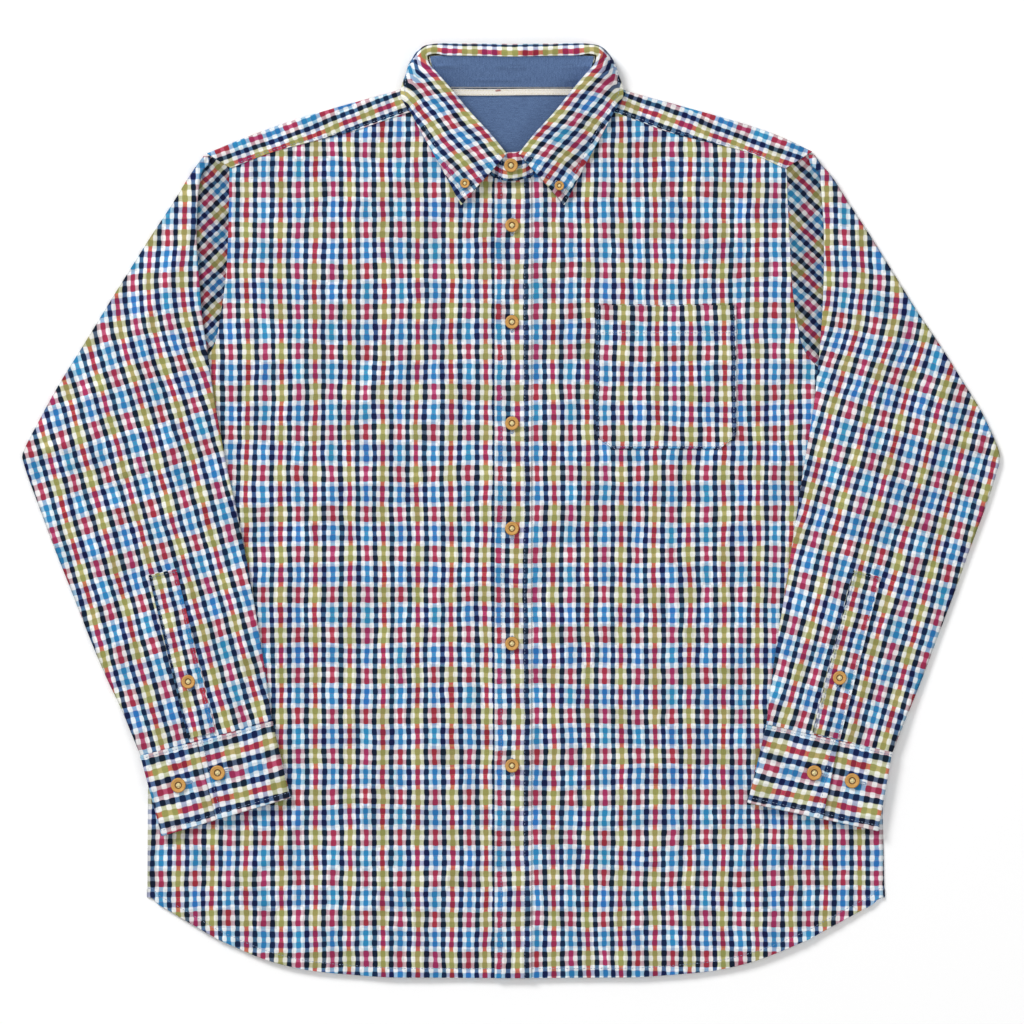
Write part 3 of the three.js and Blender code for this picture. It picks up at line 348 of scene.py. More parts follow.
@dataclass
class Sheet:
    """One cut piece of cloth: a middle surface with a thickness and rounded edges."""

    name: str
    grid: Array
    thick: float
    fabric: Array
    outer_up: tuple[float, float] = (0.5, 0.5)
    live: Array | None = None
    extra: Array | None = None
    # Painted shade per point, read by the finishes; below zero it is painted light.
    shade: Array | None = None
    normals: Array = field(init=False)
    sign: float = field(init=False)

    def __post_init__(self) -> None:
        """Finds which face of the sheet is its outer one."""
        rows, cols = self.grid.shape[:2]
        if self.live is None:
            self.live = np.ones((rows - 1, cols - 1), bool)
        if self.extra is None:
            self.extra = np.zeros((rows, cols))
        raw = grid_normals(self.grid, self.live)
        j = int(self.outer_up[0] * (rows - 1))
        i = int(self.outer_up[1] * (cols - 1))
        self.sign = 1.0 if raw[j, i, 2] >= 0 else -1.0
        self.normals = raw * self.sign

    def outer(self, lift: float = 0.0) -> Array:
        """The points of the outer face, raised by lift mm."""
        return self.grid + self.normals * (self.thick / 2 + self.extra + lift)[:, :, None]

    def along(
        self, edge: Edge, inset: float, start: float = 0.0, stop: float = 1.0, lift: float = 0.12
    ) -> Array:
        """A line on the outer face, a set distance from an edge.

        Args:
            edge: The edge.
            inset: Distance from it, mm.
            start: Share of the edge where the line starts.
            stop: Share where it ends.
            lift: Height over the face, mm.

        Returns:
            The line's points, mm.
        """
        face = self.outer(lift)
        if edge in (Edge.DOWN_START, Edge.DOWN_END):
            face = face.transpose(1, 0, 2)
        if edge in (Edge.ACROSS_END, Edge.DOWN_END):
            face = face[:, ::-1]
        run = run_length(face, 1)
        line = np.array(
            [[np.interp(inset, run[j], face[j, :, k]) for k in range(3)] for j in range(len(face))]
        )
        n = len(line)
        return line[int(round(start * (n - 1))) : int(round(stop * (n - 1))) + 1]

    def build(self, material: bpy.types.Material) -> bpy.types.Object:
        """Makes the sheet's mesh object.

        Args:
            material: Its finish.

        Returns:
            The object, placed in its mesh.
        """
        rows, cols = self.grid.shape[:2]
        count = rows * cols
        ids = np.arange(count).reshape(rows, cols)
        up, low = self.outer(), self.grid - self.normals * (self.thick / 2)
        live = self.live
        a, b, c, d = ids[:-1, :-1], ids[:-1, 1:], ids[1:, 1:], ids[1:, :-1]
        top = np.stack([x[live] for x in (a, b, c, d)], axis=1)
        quads = [top, np.stack([x[live] for x in (d, c, b, a)], axis=1) + count]
        padded = np.pad(live, 1)
        rims = [
            (live & ~padded[:-2, 1:-1], a, b),
            (live & ~padded[1:-1, 2:], b, c),
            (live & ~padded[2:, 1:-1], c, d),
            (live & ~padded[1:-1, :-2], d, a),
        ]
        p0 = np.concatenate([s[m] for m, s, _ in rims])
        p1 = np.concatenate([e[m] for m, _, e in rims])
        flat = self.grid.reshape(-1, 3)
        nrm = (self.normals * self.sign).reshape(-1, 3)
        out = np.zeros_like(flat)
        step = np.cross(flat[p1] - flat[p0], nrm[p0])
        step /= np.maximum(np.linalg.norm(step, axis=1, keepdims=True), 1e-9)
        np.add.at(out, p0, step)
        np.add.at(out, p1, step)
        out /= np.maximum(np.linalg.norm(out, axis=1, keepdims=True), 1e-9)
        middle = flat + out * self.thick * 0.34
        quads.append(np.stack([p0, p0 + 2 * count, p1 + 2 * count, p1], axis=1))
        quads.append(np.stack([p0 + 2 * count, p0 + count, p1 + count, p1 + 2 * count], axis=1))
        faces = np.concatenate(quads)
        if self.sign < 0:
            faces = faces[:, ::-1]
        points = np.concatenate([up.reshape(-1, 3), low.reshape(-1, 3), middle])
        used = np.zeros(3 * count, bool)
        used[faces.ravel()] = True
        new_id = np.cumsum(used) - 1
        faces = new_id[faces]
        points = (points[used] + TABLE_SHIFT) * MM
        cloth = np.tile(self.fabric.reshape(-1, 2), (3, 1))[used] * MM
        mesh = bpy.data.meshes.new(self.name)
        mesh.from_pydata(points.tolist(), [], faces.tolist())
        layer = mesh.uv_layers.new(name="fabric")
        loops = np.empty(len(mesh.loops), np.int32)
        mesh.loops.foreach_get("vertex_index", loops)
        layer.data.foreach_set("uv", cloth[loops].astype(np.float32).ravel())
        mesh.polygons.foreach_set("use_smooth", np.ones(len(mesh.polygons), bool))
        rim = np.zeros(3 * count, bool)
        rim[np.concatenate([p0, p1, p0 + count, p1 + count])] = True
        rim = rim[used]
        ends = np.empty(2 * len(mesh.edges), np.int32)
        mesh.edges.foreach_get("vertices", ends)
        pairs = ends.reshape(-1, 2)
        sharp = mesh.attributes.new("sharp_edge", "BOOLEAN", "EDGE")
        sharp.data.foreach_set("value", rim[pairs[:, 0]] & rim[pairs[:, 1]])
        # The painted shade goes to the mesh as the attribute shade.
        if self.shade is not None:
            shade = np.tile(np.broadcast_to(self.shade, (rows, cols)).ravel(), 3)[used]
            mesh.attributes.new("shade", "FLOAT", "POINT").data.foreach_set("value", shade.astype(np.float32))
        mesh.materials.append(material)
        mesh.update()
        return placed(self.name, mesh)


def welt(away: Array, width: float, high: float) -> Array:
    """A stitched edge: a little raised from the edge to its stitches, pulled in at them.

    Args:
        away: Distance from the edge, mm.
        width: Distance of the stitches, mm.
        high: The rise, mm.

    Returns:
        Extra thickness on the outer face, mm.
    """
    rise = high * (1 - smooth((away - width + 0.5) / 1.6))
    return rise - 0.6 * high * np.exp(-(((away - width) / 0.9) ** 2))


def welt_places(width: float) -> tuple[float, ...]:
    """Places across a stitched edge that its shape needs."""
    return (0.8, width * 0.5, width - 1.1, width, width + 1.1, width + 2.6)


# Finishes


def linear(code: str) -> tuple[float, float, float, float]:
    """A given colour as linear RGBA.

    Args:
        code: The colour as #rrggbb.

    Returns:
        The colour for a shader.
    """
    parts = [int(code[k : k + 2], 16) / 255 for k in (1, 3, 5)]
    r, g, b = (c / 12.92 if c <= 0.04045 else ((c + 0.055) / 1.055) ** 2.4 for c in parts)
    return r, g, b, 1.0


Socket = bpy.types.NodeSocket
BLACK, WHITE = (0, 0, 0, 1), (1, 1, 1, 1)


class ShaderBench:
    """Puts a node material together."""

    def __init__(self, name: str, roughness: float, sheen: float = 0.0) -> None:
        """Starts the material.

        Args:
            name: Its name.
            roughness: The shader's roughness.
            sheen: The weight of the cloth's sheen.
        """
        self.material = bpy.data.materials.new(name)
        self.material.use_nodes = True
        self.tree = self.material.node_tree
        self.shader = self.tree.nodes["Principled BSDF"]
        self.shader.inputs["Roughness"].default_value = roughness
        self.shader.inputs["Sheen Weight"].default_value = sheen
        self.shader.inputs["Sheen Roughness"].default_value = 0.6
        self.shader.inputs["Specular IOR Level"].default_value = 0.25

    def feed(self, target: Socket, value: Socket | float | tuple) -> None:
        """Links a socket to an input, or sets the input to a value."""
        if isinstance(value, bpy.types.NodeSocket):
            self.tree.links.new(value, target)
        else:
            target.default_value = value

    def math(self, operation: str, a: Socket | float, b: Socket | float = 0.0) -> Socket:
        """One step of arithmetic.

        Args:
            operation: The node's operation.
            a: First value.
            b: Second value.

        Returns:
            The result's socket.
        """
        node = self.tree.nodes.new("ShaderNodeMath")
        node.operation = operation
        self.feed(node.inputs[0], a)
        self.feed(node.inputs[1], b)
        return node.outputs[0]

    def times(self, a: Socket | float, b: Socket | float) -> Socket:
        """The product of two values."""
        return self.math("MULTIPLY", a, b)

    def plus(self, a: Socket | float, b: Socket | float) -> Socket:
        """The sum of two values."""
        return self.math("ADD", a, b)

    def minus(self, a: Socket | float, b: Socket | float) -> Socket:
        """The first value less the second."""
        return self.math("SUBTRACT", a, b)

    def ramp(self, factor: Socket, stops: Sequence[tuple[float, tuple]]) -> Socket:
        """A colour ramp.

        Args:
            factor: What it reads.
            stops: Places and colours in rising order.

        Returns:
            The colour's socket.
        """
        node = self.tree.nodes.new("ShaderNodeValToRGB")
        elements = node.color_ramp.elements
        elements[0].position, elements[0].color = stops[0]
        elements[1].position, elements[1].color = stops[-1]
        for place, colour in stops[1:-1]:
            elements.new(place).color = colour
        self.feed(node.inputs[0], factor)
        return node.outputs[0]

    def mix(self, factor: Socket | float, a: Socket | tuple, b: Socket | tuple, blend: str = "MIX") -> Socket:
        """Mixes two colours.

        Args:
            factor: Share of the second.
            a: First colour.
            b: Second colour.
            blend: The way they mix.

        Returns:
            The colour's socket.
        """
        node = self.tree.nodes.new("ShaderNodeMix")
        node.data_type = "RGBA"
        node.blend_type = blend
        self.feed(node.inputs[0], factor)
        self.feed(node.inputs[6], a)
        self.feed(node.inputs[7], b)
        return node.outputs[2]

    def noise(self, place: Socket, scale: float, detail: float = 2.0) -> Socket:
        """Smooth noise from 0 to 1.

        Args:
            place: Where it is read.
            scale: Its fineness.
            detail: Its octaves.

        Returns:
            The value's socket.
        """
        node = self.tree.nodes.new("ShaderNodeTexNoise")
        node.inputs["Scale"].default_value = scale
        node.inputs["Detail"].default_value = detail
        self.feed(node.inputs["Vector"], place)
        return node.outputs[0]

    def drift(self, place: Socket, waves: Sequence[tuple[float, float]]) -> Socket:
        """How far yarns stray from straight lines.

        Args:
            place: Where it is read.
            waves: Fineness and size of each wave, per metre and metres.

        Returns:
            The distance's socket.
        """
        total: Socket | float = 0.0
        for scale, size in waves:
            part = self.times(self.minus(self.noise(place, scale, 1.0), 0.5), size)
            total = self.plus(part, total)
        return total

    def folded(self, colour: Socket) -> Socket:
        """Scales a colour by one less its attribute shade: painted shade where the cloth is folded in or
        rolls away, painted light where the shade is below zero.
        """
        depth = self.tree.nodes.new("ShaderNodeAttribute")
        depth.attribute_name = "shade"
        scale = self.tree.nodes.new("ShaderNodeVectorMath")
        scale.operation = "SCALE"
        self.feed(scale.inputs[0], colour)
        self.feed(scale.inputs["Scale"], self.minus(1.0, depth.outputs["Fac"]))
        return scale.outputs[0]

    def spread(self, place: Socket, x: float, y: float) -> Socket:
        """Stretches a place along its two axes."""
        node = self.tree.nodes.new("ShaderNodeMapping")
        node.inputs["Scale"].default_value = (x, y, 1.0)
        self.feed(node.inputs["Vector"], place)
        return node.outputs[0]

    def split(self, place: Socket) -> tuple[Socket, Socket]:
        """The x and y of a place."""
        node = self.tree.nodes.new("ShaderNodeSeparateXYZ")
        self.feed(node.inputs[0], place)
        return node.outputs[0], node.outputs[1]

    def cloth_place(self) -> Socket:
        """The piece's own cloth coordinates, in metres of cloth."""
        node = self.tree.nodes.new("ShaderNodeUVMap")
        node.uv_map = "fabric"
        return node.outputs[0]

    def object_place(self) -> Socket:
        """Object coordinates."""
        return self.tree.nodes.new("ShaderNodeTexCoord").outputs["Object"]

    def bump(self, height: Socket, distance: float, strength: float, under: Socket | None = None) -> Socket:
        """Relief for the shader.

        Args:
            height: The relief.
            distance: Its height in metres.
            strength: Its weight.
            under: Relief that it lies on.

        Returns:
            The normal's socket.
        """
        node = self.tree.nodes.new("ShaderNodeBump")
        node.inputs["Strength"].default_value = strength
        node.inputs["Distance"].default_value = distance
        self.feed(node.inputs["Height"], height)
        if under is not None:
            self.feed(node.inputs["Normal"], under)
        return node.outputs[0]

    def finish(self, colour: Socket | tuple, normal: Socket | None = None) -> bpy.types.Material:
        """Wires colour and relief to the shader and hands the material over."""
        self.feed(self.shader.inputs["Base Color"], colour)
        if normal is not None:
            self.feed(self.shader.inputs["Normal"], normal)
        return self.material


# Colours of one repeat, charted. Each row kind lists the warp stripes navy, red-olive,
# navy and blue-red, each followed by the white gap after it.
CHART = {
    "olive": ("#081a30", "#c3c5a0", "#979452", "#c3c5a0", "#081a30", "#c4a3ab", "#9f2149", "#c4a3ab"),
    "olive_gap": ("#52667f", "#efefe6", "#b5a96a", "#efefe6", "#52667f", "#f0ecec", "#be4c72", "#f0ecec"),
    "turn_gap": ("#4c7199", "#eff1f1", "#c9694f", "#eff1f1", "#4c7199", "#eef1f4", "#8fb0d2", "#eef1f4"),
    "navy": ("#041d48", "#a6adca", "#931b43", "#a6adca", "#041d48", "#97bfdb", "#1078b6", "#97bfdb"),
    "navy_gap": ("#37628f", "#f0f1f4", "#bd3659", "#f0f1f4", "#37628f", "#e9f1f6", "#3593c8", "#e9f1f6"),
}
ROW_KINDS = ("olive", "olive_gap", "olive", "turn_gap", "navy", "navy_gap", "navy", "turn_gap")


@dataclass(frozen=True)
class CheckCotton:
    """The shirt's small multicoloured check, woven cotton, sizes in mm of cloth."""

    column: float = 7.48
    row: float = 8.9
    stripe: float = 0.555
    row_stripe: float = 0.54
    swell: float = 0.28
    edge: float = 0.0085

    def bands(self, share: float) -> list[tuple[float, float]]:
        """Start and end of the eight bands of a repeat.

        Args:
            share: A stripe's share of its pitch.

        Returns:
            Each band's start and end, from 0 to 1.
        """
        out = []
        for k in range(4):
            out += [(k / 4, (k + share) / 4), ((k + share) / 4, (k + 1) / 4)]
        return out

    def stops(self, colours: Sequence[tuple], share: float) -> list[tuple[float, tuple]]:
        """Ramp stops that hold each band's colour, with soft edges between.

        Args:
            colours: One colour a band.
            share: A stripe's share of its pitch.

        Returns:
            The stops.
        """
        out = []
        for (start, end), colour in zip(self.bands(share), colours):
            out += [(start + self.edge, colour), (end - self.edge, colour)]
        return out

    def material(self) -> bpy.types.Material:
        """Builds the cloth's finish.

        Returns:
            The material.
        """
        bench = ShaderBench("check_cotton", 0.9, 0.03)
        bench.shader.inputs["Specular IOR Level"].default_value = 0.12
        cloth = bench.cloth_place()
        wobble = bench.drift(bench.spread(cloth, 1.0, 0.7), ((11.0, 0.0062), (55.0, 0.0022), (150.0, 0.0009)))
        sway = bench.drift(bench.spread(cloth, 0.8, 1.3), ((13.0, 0.0056), (60.0, 0.0018), (170.0, 0.0008)))
        u, v = bench.split(cloth)
        u, v = bench.plus(u, wobble), bench.plus(v, sway)
        wide, tall = self.column * MM, self.row * MM
        # Yarns bunch where stripes cross, which rounds the white squares.
        turn_u = bench.times(bench.minus(u, wide * self.stripe / 2), 2 * math.pi / wide)
        turn_v = bench.times(bench.minus(v, tall * self.row_stripe / 2), 2 * math.pi / tall)
        bunch_u = bench.times(bench.math("SINE", turn_u), bench.math("COSINE", turn_v))
        bunch_v = bench.times(bench.math("SINE", turn_v), bench.math("COSINE", turn_u))
        u = bench.minus(u, bench.times(bunch_u, self.swell * MM))
        v = bench.minus(v, bench.times(bunch_v, self.swell * MM))
        across = bench.math("FRACT", bench.times(u, 1 / (4 * wide)))
        down = bench.math("FRACT", bench.times(v, 1 / (4 * tall)))
        rows = {k: bench.ramp(across, self.stops([linear(c) for c in CHART[k]], self.stripe)) for k in CHART}
        colour = rows["olive_gap"]
        for kind in ("olive", "turn_gap", "navy", "navy_gap"):
            marks = [WHITE if r == kind else BLACK for r in ROW_KINDS]
            mask = bench.ramp(down, self.stops(marks, self.row_stripe))
            colour = bench.mix(mask, colour, rows[kind])
        # Each crossing's dye differs a little from the next.
        cell = bench.tree.nodes.new("ShaderNodeCombineXYZ")
        bench.feed(cell.inputs[0], bench.math("FLOOR", bench.times(bench.plus(u, 0.0017), 1 / wide)))
        bench.feed(cell.inputs[1], bench.math("FLOOR", bench.times(bench.plus(v, 0.0019), 1 / (2 * tall))))
        dye = bench.tree.nodes.new("ShaderNodeTexWhiteNoise")
        dye.noise_dimensions = "2D"
        bench.feed(dye.inputs["Vector"], cell.outputs[0])
        tint = bench.tree.nodes.new("ShaderNodeHueSaturation")
        bench.feed(tint.inputs["Hue"], bench.plus(bench.times(dye.outputs["Value"], 0.036), 0.482))
        tint.inputs["Saturation"].default_value = 0.96
        bench.feed(
            tint.inputs["Value"],
            bench.plus(bench.times(bench.math("FRACT", bench.times(dye.outputs["Value"], 7.3)), 0.26), 0.835),
        )
        bench.feed(tint.inputs["Color"], colour)
        # Yarn streaks both ways, and the weave's grain.
        warp = bench.noise(bench.spread(cloth, 2600.0, 90.0), 1.0, 3.0)
        weft = bench.noise(bench.spread(cloth, 90.0, 2600.0), 1.0, 3.0)
        streak = bench.plus(bench.times(bench.plus(warp, weft), 0.34), 0.58)
        # The colour takes the painted shade and painted light of the attribute shade.
        colour = bench.folded(bench.mix(1.0, tint.outputs[0], bench.mix(streak, BLACK, WHITE), "MULTIPLY"))
        puff_u = bench.math(
            "SINE", bench.times(bench.minus(u, wide * (1 + self.stripe) / 2 - wide / 2), math.pi / wide)
        )
        puff_v = bench.math(
            "SINE", bench.times(bench.minus(v, tall * (1 + self.row_stripe) / 2 - tall / 2), math.pi / tall)
        )
        puff = bench.times(bench.times(puff_u, puff_u), bench.times(puff_v, puff_v))
        normal = bench.bump(bench.noise(cloth, 1900.0, 3.0), 0.0001, 0.5)
        normal = bench.bump(bench.plus(puff, bench.noise(cloth, 240.0, 2.0)), 0.00035, 0.55, normal)
        return bench.finish(colour, normal)


@dataclass(frozen=True)
class Chambray:
    """Plain blue chambray: blue warp, pale weft."""

    deep: str = "#34496f"
    pale: str = "#6580a8"

    def material(self) -> bpy.types.Material:
        """Builds the lining's finish."""
        bench = ShaderBench("chambray", 0.9, 0.12)
        cloth = bench.cloth_place()
        warp = bench.noise(bench.spread(cloth, 2600.0, 700.0), 1.0, 3.0)
        weft = bench.noise(bench.spread(cloth, 700.0, 2600.0), 1.0, 3.0)
        slub = bench.noise(bench.spread(cloth, 150.0, 900.0), 1.0, 2.0)
        share = bench.plus(bench.times(bench.plus(warp, weft), 0.5), bench.times(bench.minus(slub, 0.5), 0.3))
        # The colour takes the painted shade and painted light of the attribute shade.
        colour = bench.folded(bench.ramp(share, [(0.3, linear(self.deep)), (0.72, linear(self.pale))]))
        normal = bench.bump(bench.plus(warp, weft), 0.00012, 0.5)
        return bench.finish(colour, bench.bump(bench.noise(cloth, 120.0, 3.0), 0.0005, 0.5, normal))


@dataclass(frozen=True)
class TwillTape:
    """Cream twill tape with its fine diagonal rib."""

    cream: str = "#f4f0e8"
    shade: str = "#d9d1c3"

    def material(self) -> bpy.types.Material:
        """Builds the tape's finish."""
        bench = ShaderBench("twill_tape", 0.85, 0.1)
        cloth = bench.cloth_place()
        u, v = bench.split(cloth)
        rib = bench.math("SINE", bench.times(bench.plus(u, v), 2 * math.pi / 0.0011))
        share = bench.plus(bench.times(rib, 0.22), bench.noise(cloth, 900.0))
        colour = bench.ramp(share, [(0.2, linear(self.shade)), (0.75, linear(self.cream))])
        return bench.finish(colour, bench.bump(rib, 0.0001, 0.6))


@dataclass(frozen=True)
class TurnedWood:
    """Pale turned wood with a scorched ring round the thread; the map's x is the share of the radius."""

    body: str = "#bd8a45"
    light: str = "#d3a35b"
    scorch: str = "#55371a"
    rim: str = "#9a6527"
    heart: str = "#ecd79c"

    def material(self) -> bpy.types.Material:
        """Builds the buttons' finish."""
        bench = ShaderBench("button_wood", 0.5)
        share, _ = bench.split(bench.cloth_place())
        share = bench.times(share, 1 / MM)
        grain = bench.noise(bench.spread(bench.object_place(), 300.0, 1500.0), 1.0, 4.0)
        wood = bench.ramp(grain, [(0.32, linear(self.body)), (0.7, linear(self.light))])
        middle = bench.ramp(share, [(0.0, WHITE), (0.3, WHITE), (0.34, BLACK), (1.0, BLACK)])
        wood = bench.mix(middle, wood, linear(self.heart))
        ring = bench.ramp(
            share, [(0.0, BLACK), (0.29, BLACK), (0.34, WHITE), (0.46, WHITE), (0.51, BLACK), (1.0, BLACK)]
        )
        edge = bench.ramp(share, [(0.0, BLACK), (0.9, BLACK), (0.99, WHITE), (1.0, WHITE)])
        colour = bench.mix(bench.times(ring, 0.92), wood, linear(self.scorch))
        colour = bench.mix(bench.times(edge, 0.75), colour, linear(self.rim))
        return bench.finish(colour, bench.bump(grain, 0.00008, 0.4))


@dataclass(frozen=True)
class Thread:
    """Spun thread of one colour."""

    name: str
    colour: str

    def material(self) -> bpy.types.Material:
        """Builds the thread's finish."""
        bench = ShaderBench(self.name, 0.7, 0.15)
        twist = bench.noise(bench.object_place(), 2600.0, 2.0)
        base = linear(self.colour)
        dark = (base[0] * 0.55, base[1] * 0.55, base[2] * 0.55, 1.0)
        colour = bench.ramp(twist, [(0.3, dark), (0.6, base)])
        return bench.finish(colour, bench.bump(twist, 0.00008, 0.5))


# The pattern's tables, mm

CLOTH = 1.2
LAYER_GAP = 0.35
SEAM_GAP = 0.4
FLOOR_Z = 0.6
SIDE_ROLL = 2.5
SHOULDER_ROLL = 2.1
PANEL_Z = FLOOR_Z + 2 * SHOULDER_ROLL
BACK_SEAM_Y = 268.0
NECK_TOP_Y = 293.5
PLACKET_X = (-15.0, 0.0, 15.6)
UNDERARM_ROW = 10
TUCK_CELLS = 7
UPPER_FROM, UPPER_TO = 14, 23
VISIBLE_CLOTH = 0.9
CREASE_SHARE = 1.7

HEM: tuple[Point, ...] = (
    (-321, -339), (-288, -358.5), (-258, -376), (-216, -394), (-170, -404.5), (-110, -409), (0, -409.6),
    (110, -409), (170, -404.5), (218, -394), (260, -376), (292, -358.5), (328, -339),
)


@dataclass(frozen=True)
class SideTable:
    """One side's plan curves, from the underarm up and from the shoulder tip to the neck."""

    hem_x: tuple[float, ...]
    armhole: tuple[Point, ...]
    yoke_seam: tuple[Point, ...]
    shoulder: tuple[Point, ...]
    neckline: tuple[Point, ...]
    seam_end: Point


SIDES = {
    Side.RIGHT: SideTable(
        (-321, -311, -301, -291, -281, -271.5, -263, -256, -249),
        ((-318.6, 112), (-294, 117.5), (-273.7, 130.7), (-261.4, 147.4), (-256, 173), (-251.7, 204.6),
         (-249.5, 240), (-248.6, 272.4), (-248.2, 303.2)),
        ((-248.2, 303.2), (-213, 316.8), (-176, 327), (-139, 336.6), (-102, 349.4), (-66, 362)),
        ((-268.4, 315.5), (-230.6, 331), (-190, 345.4), (-148.7, 357.7), (-105.6, 369.6), (-71.3, 380.6)),
        ((-66, 362), (-52.8, 341), (-38.7, 322.5), (-25.5, 305.8)),
        (-249.5, BACK_SEAM_Y),
    ),
    Side.LEFT: SideTable(
        (328, 317, 306, 295, 284, 272, 260, 248, 235),
        ((318.6, 112), (294.8, 115.7), (272.8, 124.5), (256, 144), (249.4, 173), (245.6, 204.6),
         (244, 240), (242.2, 272.4), (241, 302.7)),
        ((241, 302.7), (209.4, 316.8), (174.2, 326), (138.2, 335.3), (102, 349), (66, 362)),
        ((264, 317.2), (230.6, 332.6), (191, 345.4), (148.7, 357.3), (103.8, 369.6), (70.4, 380.6)),
        ((66, 362), (52.8, 341), (38.7, 322.5), (27, 305.8)),
        (242.5, BACK_SEAM_Y),
    ),
}

# Sleeve rows: fold edge, silhouette, tuck, seam place, lower layer's lift, upper layer's height.
SleeveRow = tuple[float, float, float, float, float, float, float | str, float, float]
SLEEVES: dict[Side, tuple[SleeveRow, ...]] = {
    Side.RIGHT: (
        (-265, 312.4, -271.4, 312.8, -268.2, 312.6, 0, 0, 8),
        (-266.5, 306.3, -275.6, 307.4, -270.4, 306.6, 0, 0, 7.8),
        (-272, 299.4, -282.1, 298, -276.2, 299, 0, 0, 7.4),
        (-276.3, 270.6, -299.2, 270.6, -282, 270, 0, 0, 5.8),
        (-277, 244, -319.4, 239.8, -286, 242, 0, 0, 5),
        (-276, 220, -338.8, 209, -288, 215, 0, 0, 4.8),
        (-274, 196, -358, 178, -290, 190, 0, 0, 4.8),
        (-272.5, 174, -376.6, 147.4, -296, 166, 0, 0, 4.8),
        (-269.5, 153.5, -396.9, 114.8, -306, 144, 0, 0, 4.8),
        (-266.5, 134, -414.5, 83.2, -318, 123, 0, 0, 4.8),
        (-264, 115.7, -431, 48.8, -332, 114, 0, 0, 4.8),
        (-263.2, 110, -429.8, 43, 0, 0, "floor", 0, 4.8),
        (-261.8, 101, -427, 34, 0, 0, "climb", 0, 4.8),
        (-257.5, 77, -418, 9.2, 0, 0, 50, 0, 4.8),
        (-250, 37.4, -404, -28.6, 0, 0, 44, 0, 4.8),
        (-241, -2.2, -389, -66.4, 0, 0, 40, 0, 4.8),
        (-233.2, -41.8, -374, -105, 0, 0, 36, 0, 5),
        (-226.2, -81.4, -359, -141.2, 0, 0, 32, 0.4, 5.5),
        (-220, -119.2, -344, -173, 0, 0, 30, 1.6, 6.6),
        (-214.8, -154.4, -334.4, -195.8, 0, 0, 28, 3.2, 8.4),
        (-210.8, -183.6, -326.8, -214.4, 0, 0, 26, 4.4, 9.4),
    ),
    Side.LEFT: (
        (260.4, 313.7, 266.8, 313.6, 263.6, 313.7, 0, 0, 8),
        (261.8, 306.5, 271.2, 306.6, 265.7, 306.5, 0, 0, 7.8),
        (269.5, 298.5, 279.3, 297.6, 273.6, 298, 0, 0, 7.4),
        (272.5, 270.6, 297, 270.6, 278.5, 270, 0, 0, 5.8),
        (274, 244, 317.2, 239.8, 283, 242, 0, 0, 5),
        (274, 220, 336.2, 209, 286, 215, 0, 0, 4.8),
        (273.5, 196, 355.4, 178, 289, 190, 0, 0, 4.8),
        (272.5, 174, 376, 147.4, 295, 166, 0, 0, 4.8),
        (271, 153.5, 396.5, 114.8, 306, 144, 0, 0, 4.8),
        (269.5, 134, 415.5, 83.2, 318, 123, 0, 0, 4.8),
        (267.5, 115.7, 429.5, 48.8, 332, 114, 0, 0, 4.8),
        (267, 110, 429, 43, 0, 0, "floor", 0, 4.8),
        (266, 101, 426.4, 34, 0, 0, "climb", 0, 4.8),
        (262.5, 77, 418.5, 9.2, 0, 0, 48, 0, 4.8),
        (256, 37.4, 404.5, -28.6, 0, 0, 44, 0, 4.8),
        (250, -2.2, 391, -66.4, 0, 0, 40, 0, 4.8),
        (244, -41.8, 376.5, -105, 0, 0, 36, 0, 5),
        (238, -81.4, 363, -141.2, 0, 0, 32, 0.4, 5.5),
        (232, -119.2, 351, -171, 0, 0, 30, 1.6, 6.6),
        (227, -155, 342, -193, 0, 0, 28, 3.2, 8.4),
        (223.5, -186.4, 334.8, -211, 0, 0, 26, 4.4, 9.4),
    ),
}

# Long folds of the laid cloth, as the solids have them.
FOLDS = (
    (-118, 130, 84, 90, 17, 1.7), (-160, -60, 97, 120, 22, 1.4), (-70, -190, 80, 100, 20, 1.6),
    (-120, -330, 20, 80, 18, 1.8), (125, 10, 96, 95, 18, 1.8), (62, -150, 86, 110, 20, 1.5),
    (80, -262, 12, 70, 16, 1.6), (205, -330, -28, 80, 18, 1.6), (120, 250, 60, 60, 18, 1.3),
    (-150, 255, 118, 70, 20, 1.4),
)
# Row, share across, rows long, share wide, height and slant.
SLEEVE_FOLDS = (
    (7, 0.42, 3.2, 0.2, 2.2, 0.05), (10.5, 0.75, 1.3, 0.22, 1.8, -0.12), (13.5, 0.55, 1.5, 0.3, 1.6, 0.1),
    (16, 0.3, 2.4, 0.16, 2.0, -0.02), (19.4, 0.36, 2.6, 0.07, 1.7, 0.02), (19.4, 0.2, 2.2, 0.07, 1.5, 0.02),
)
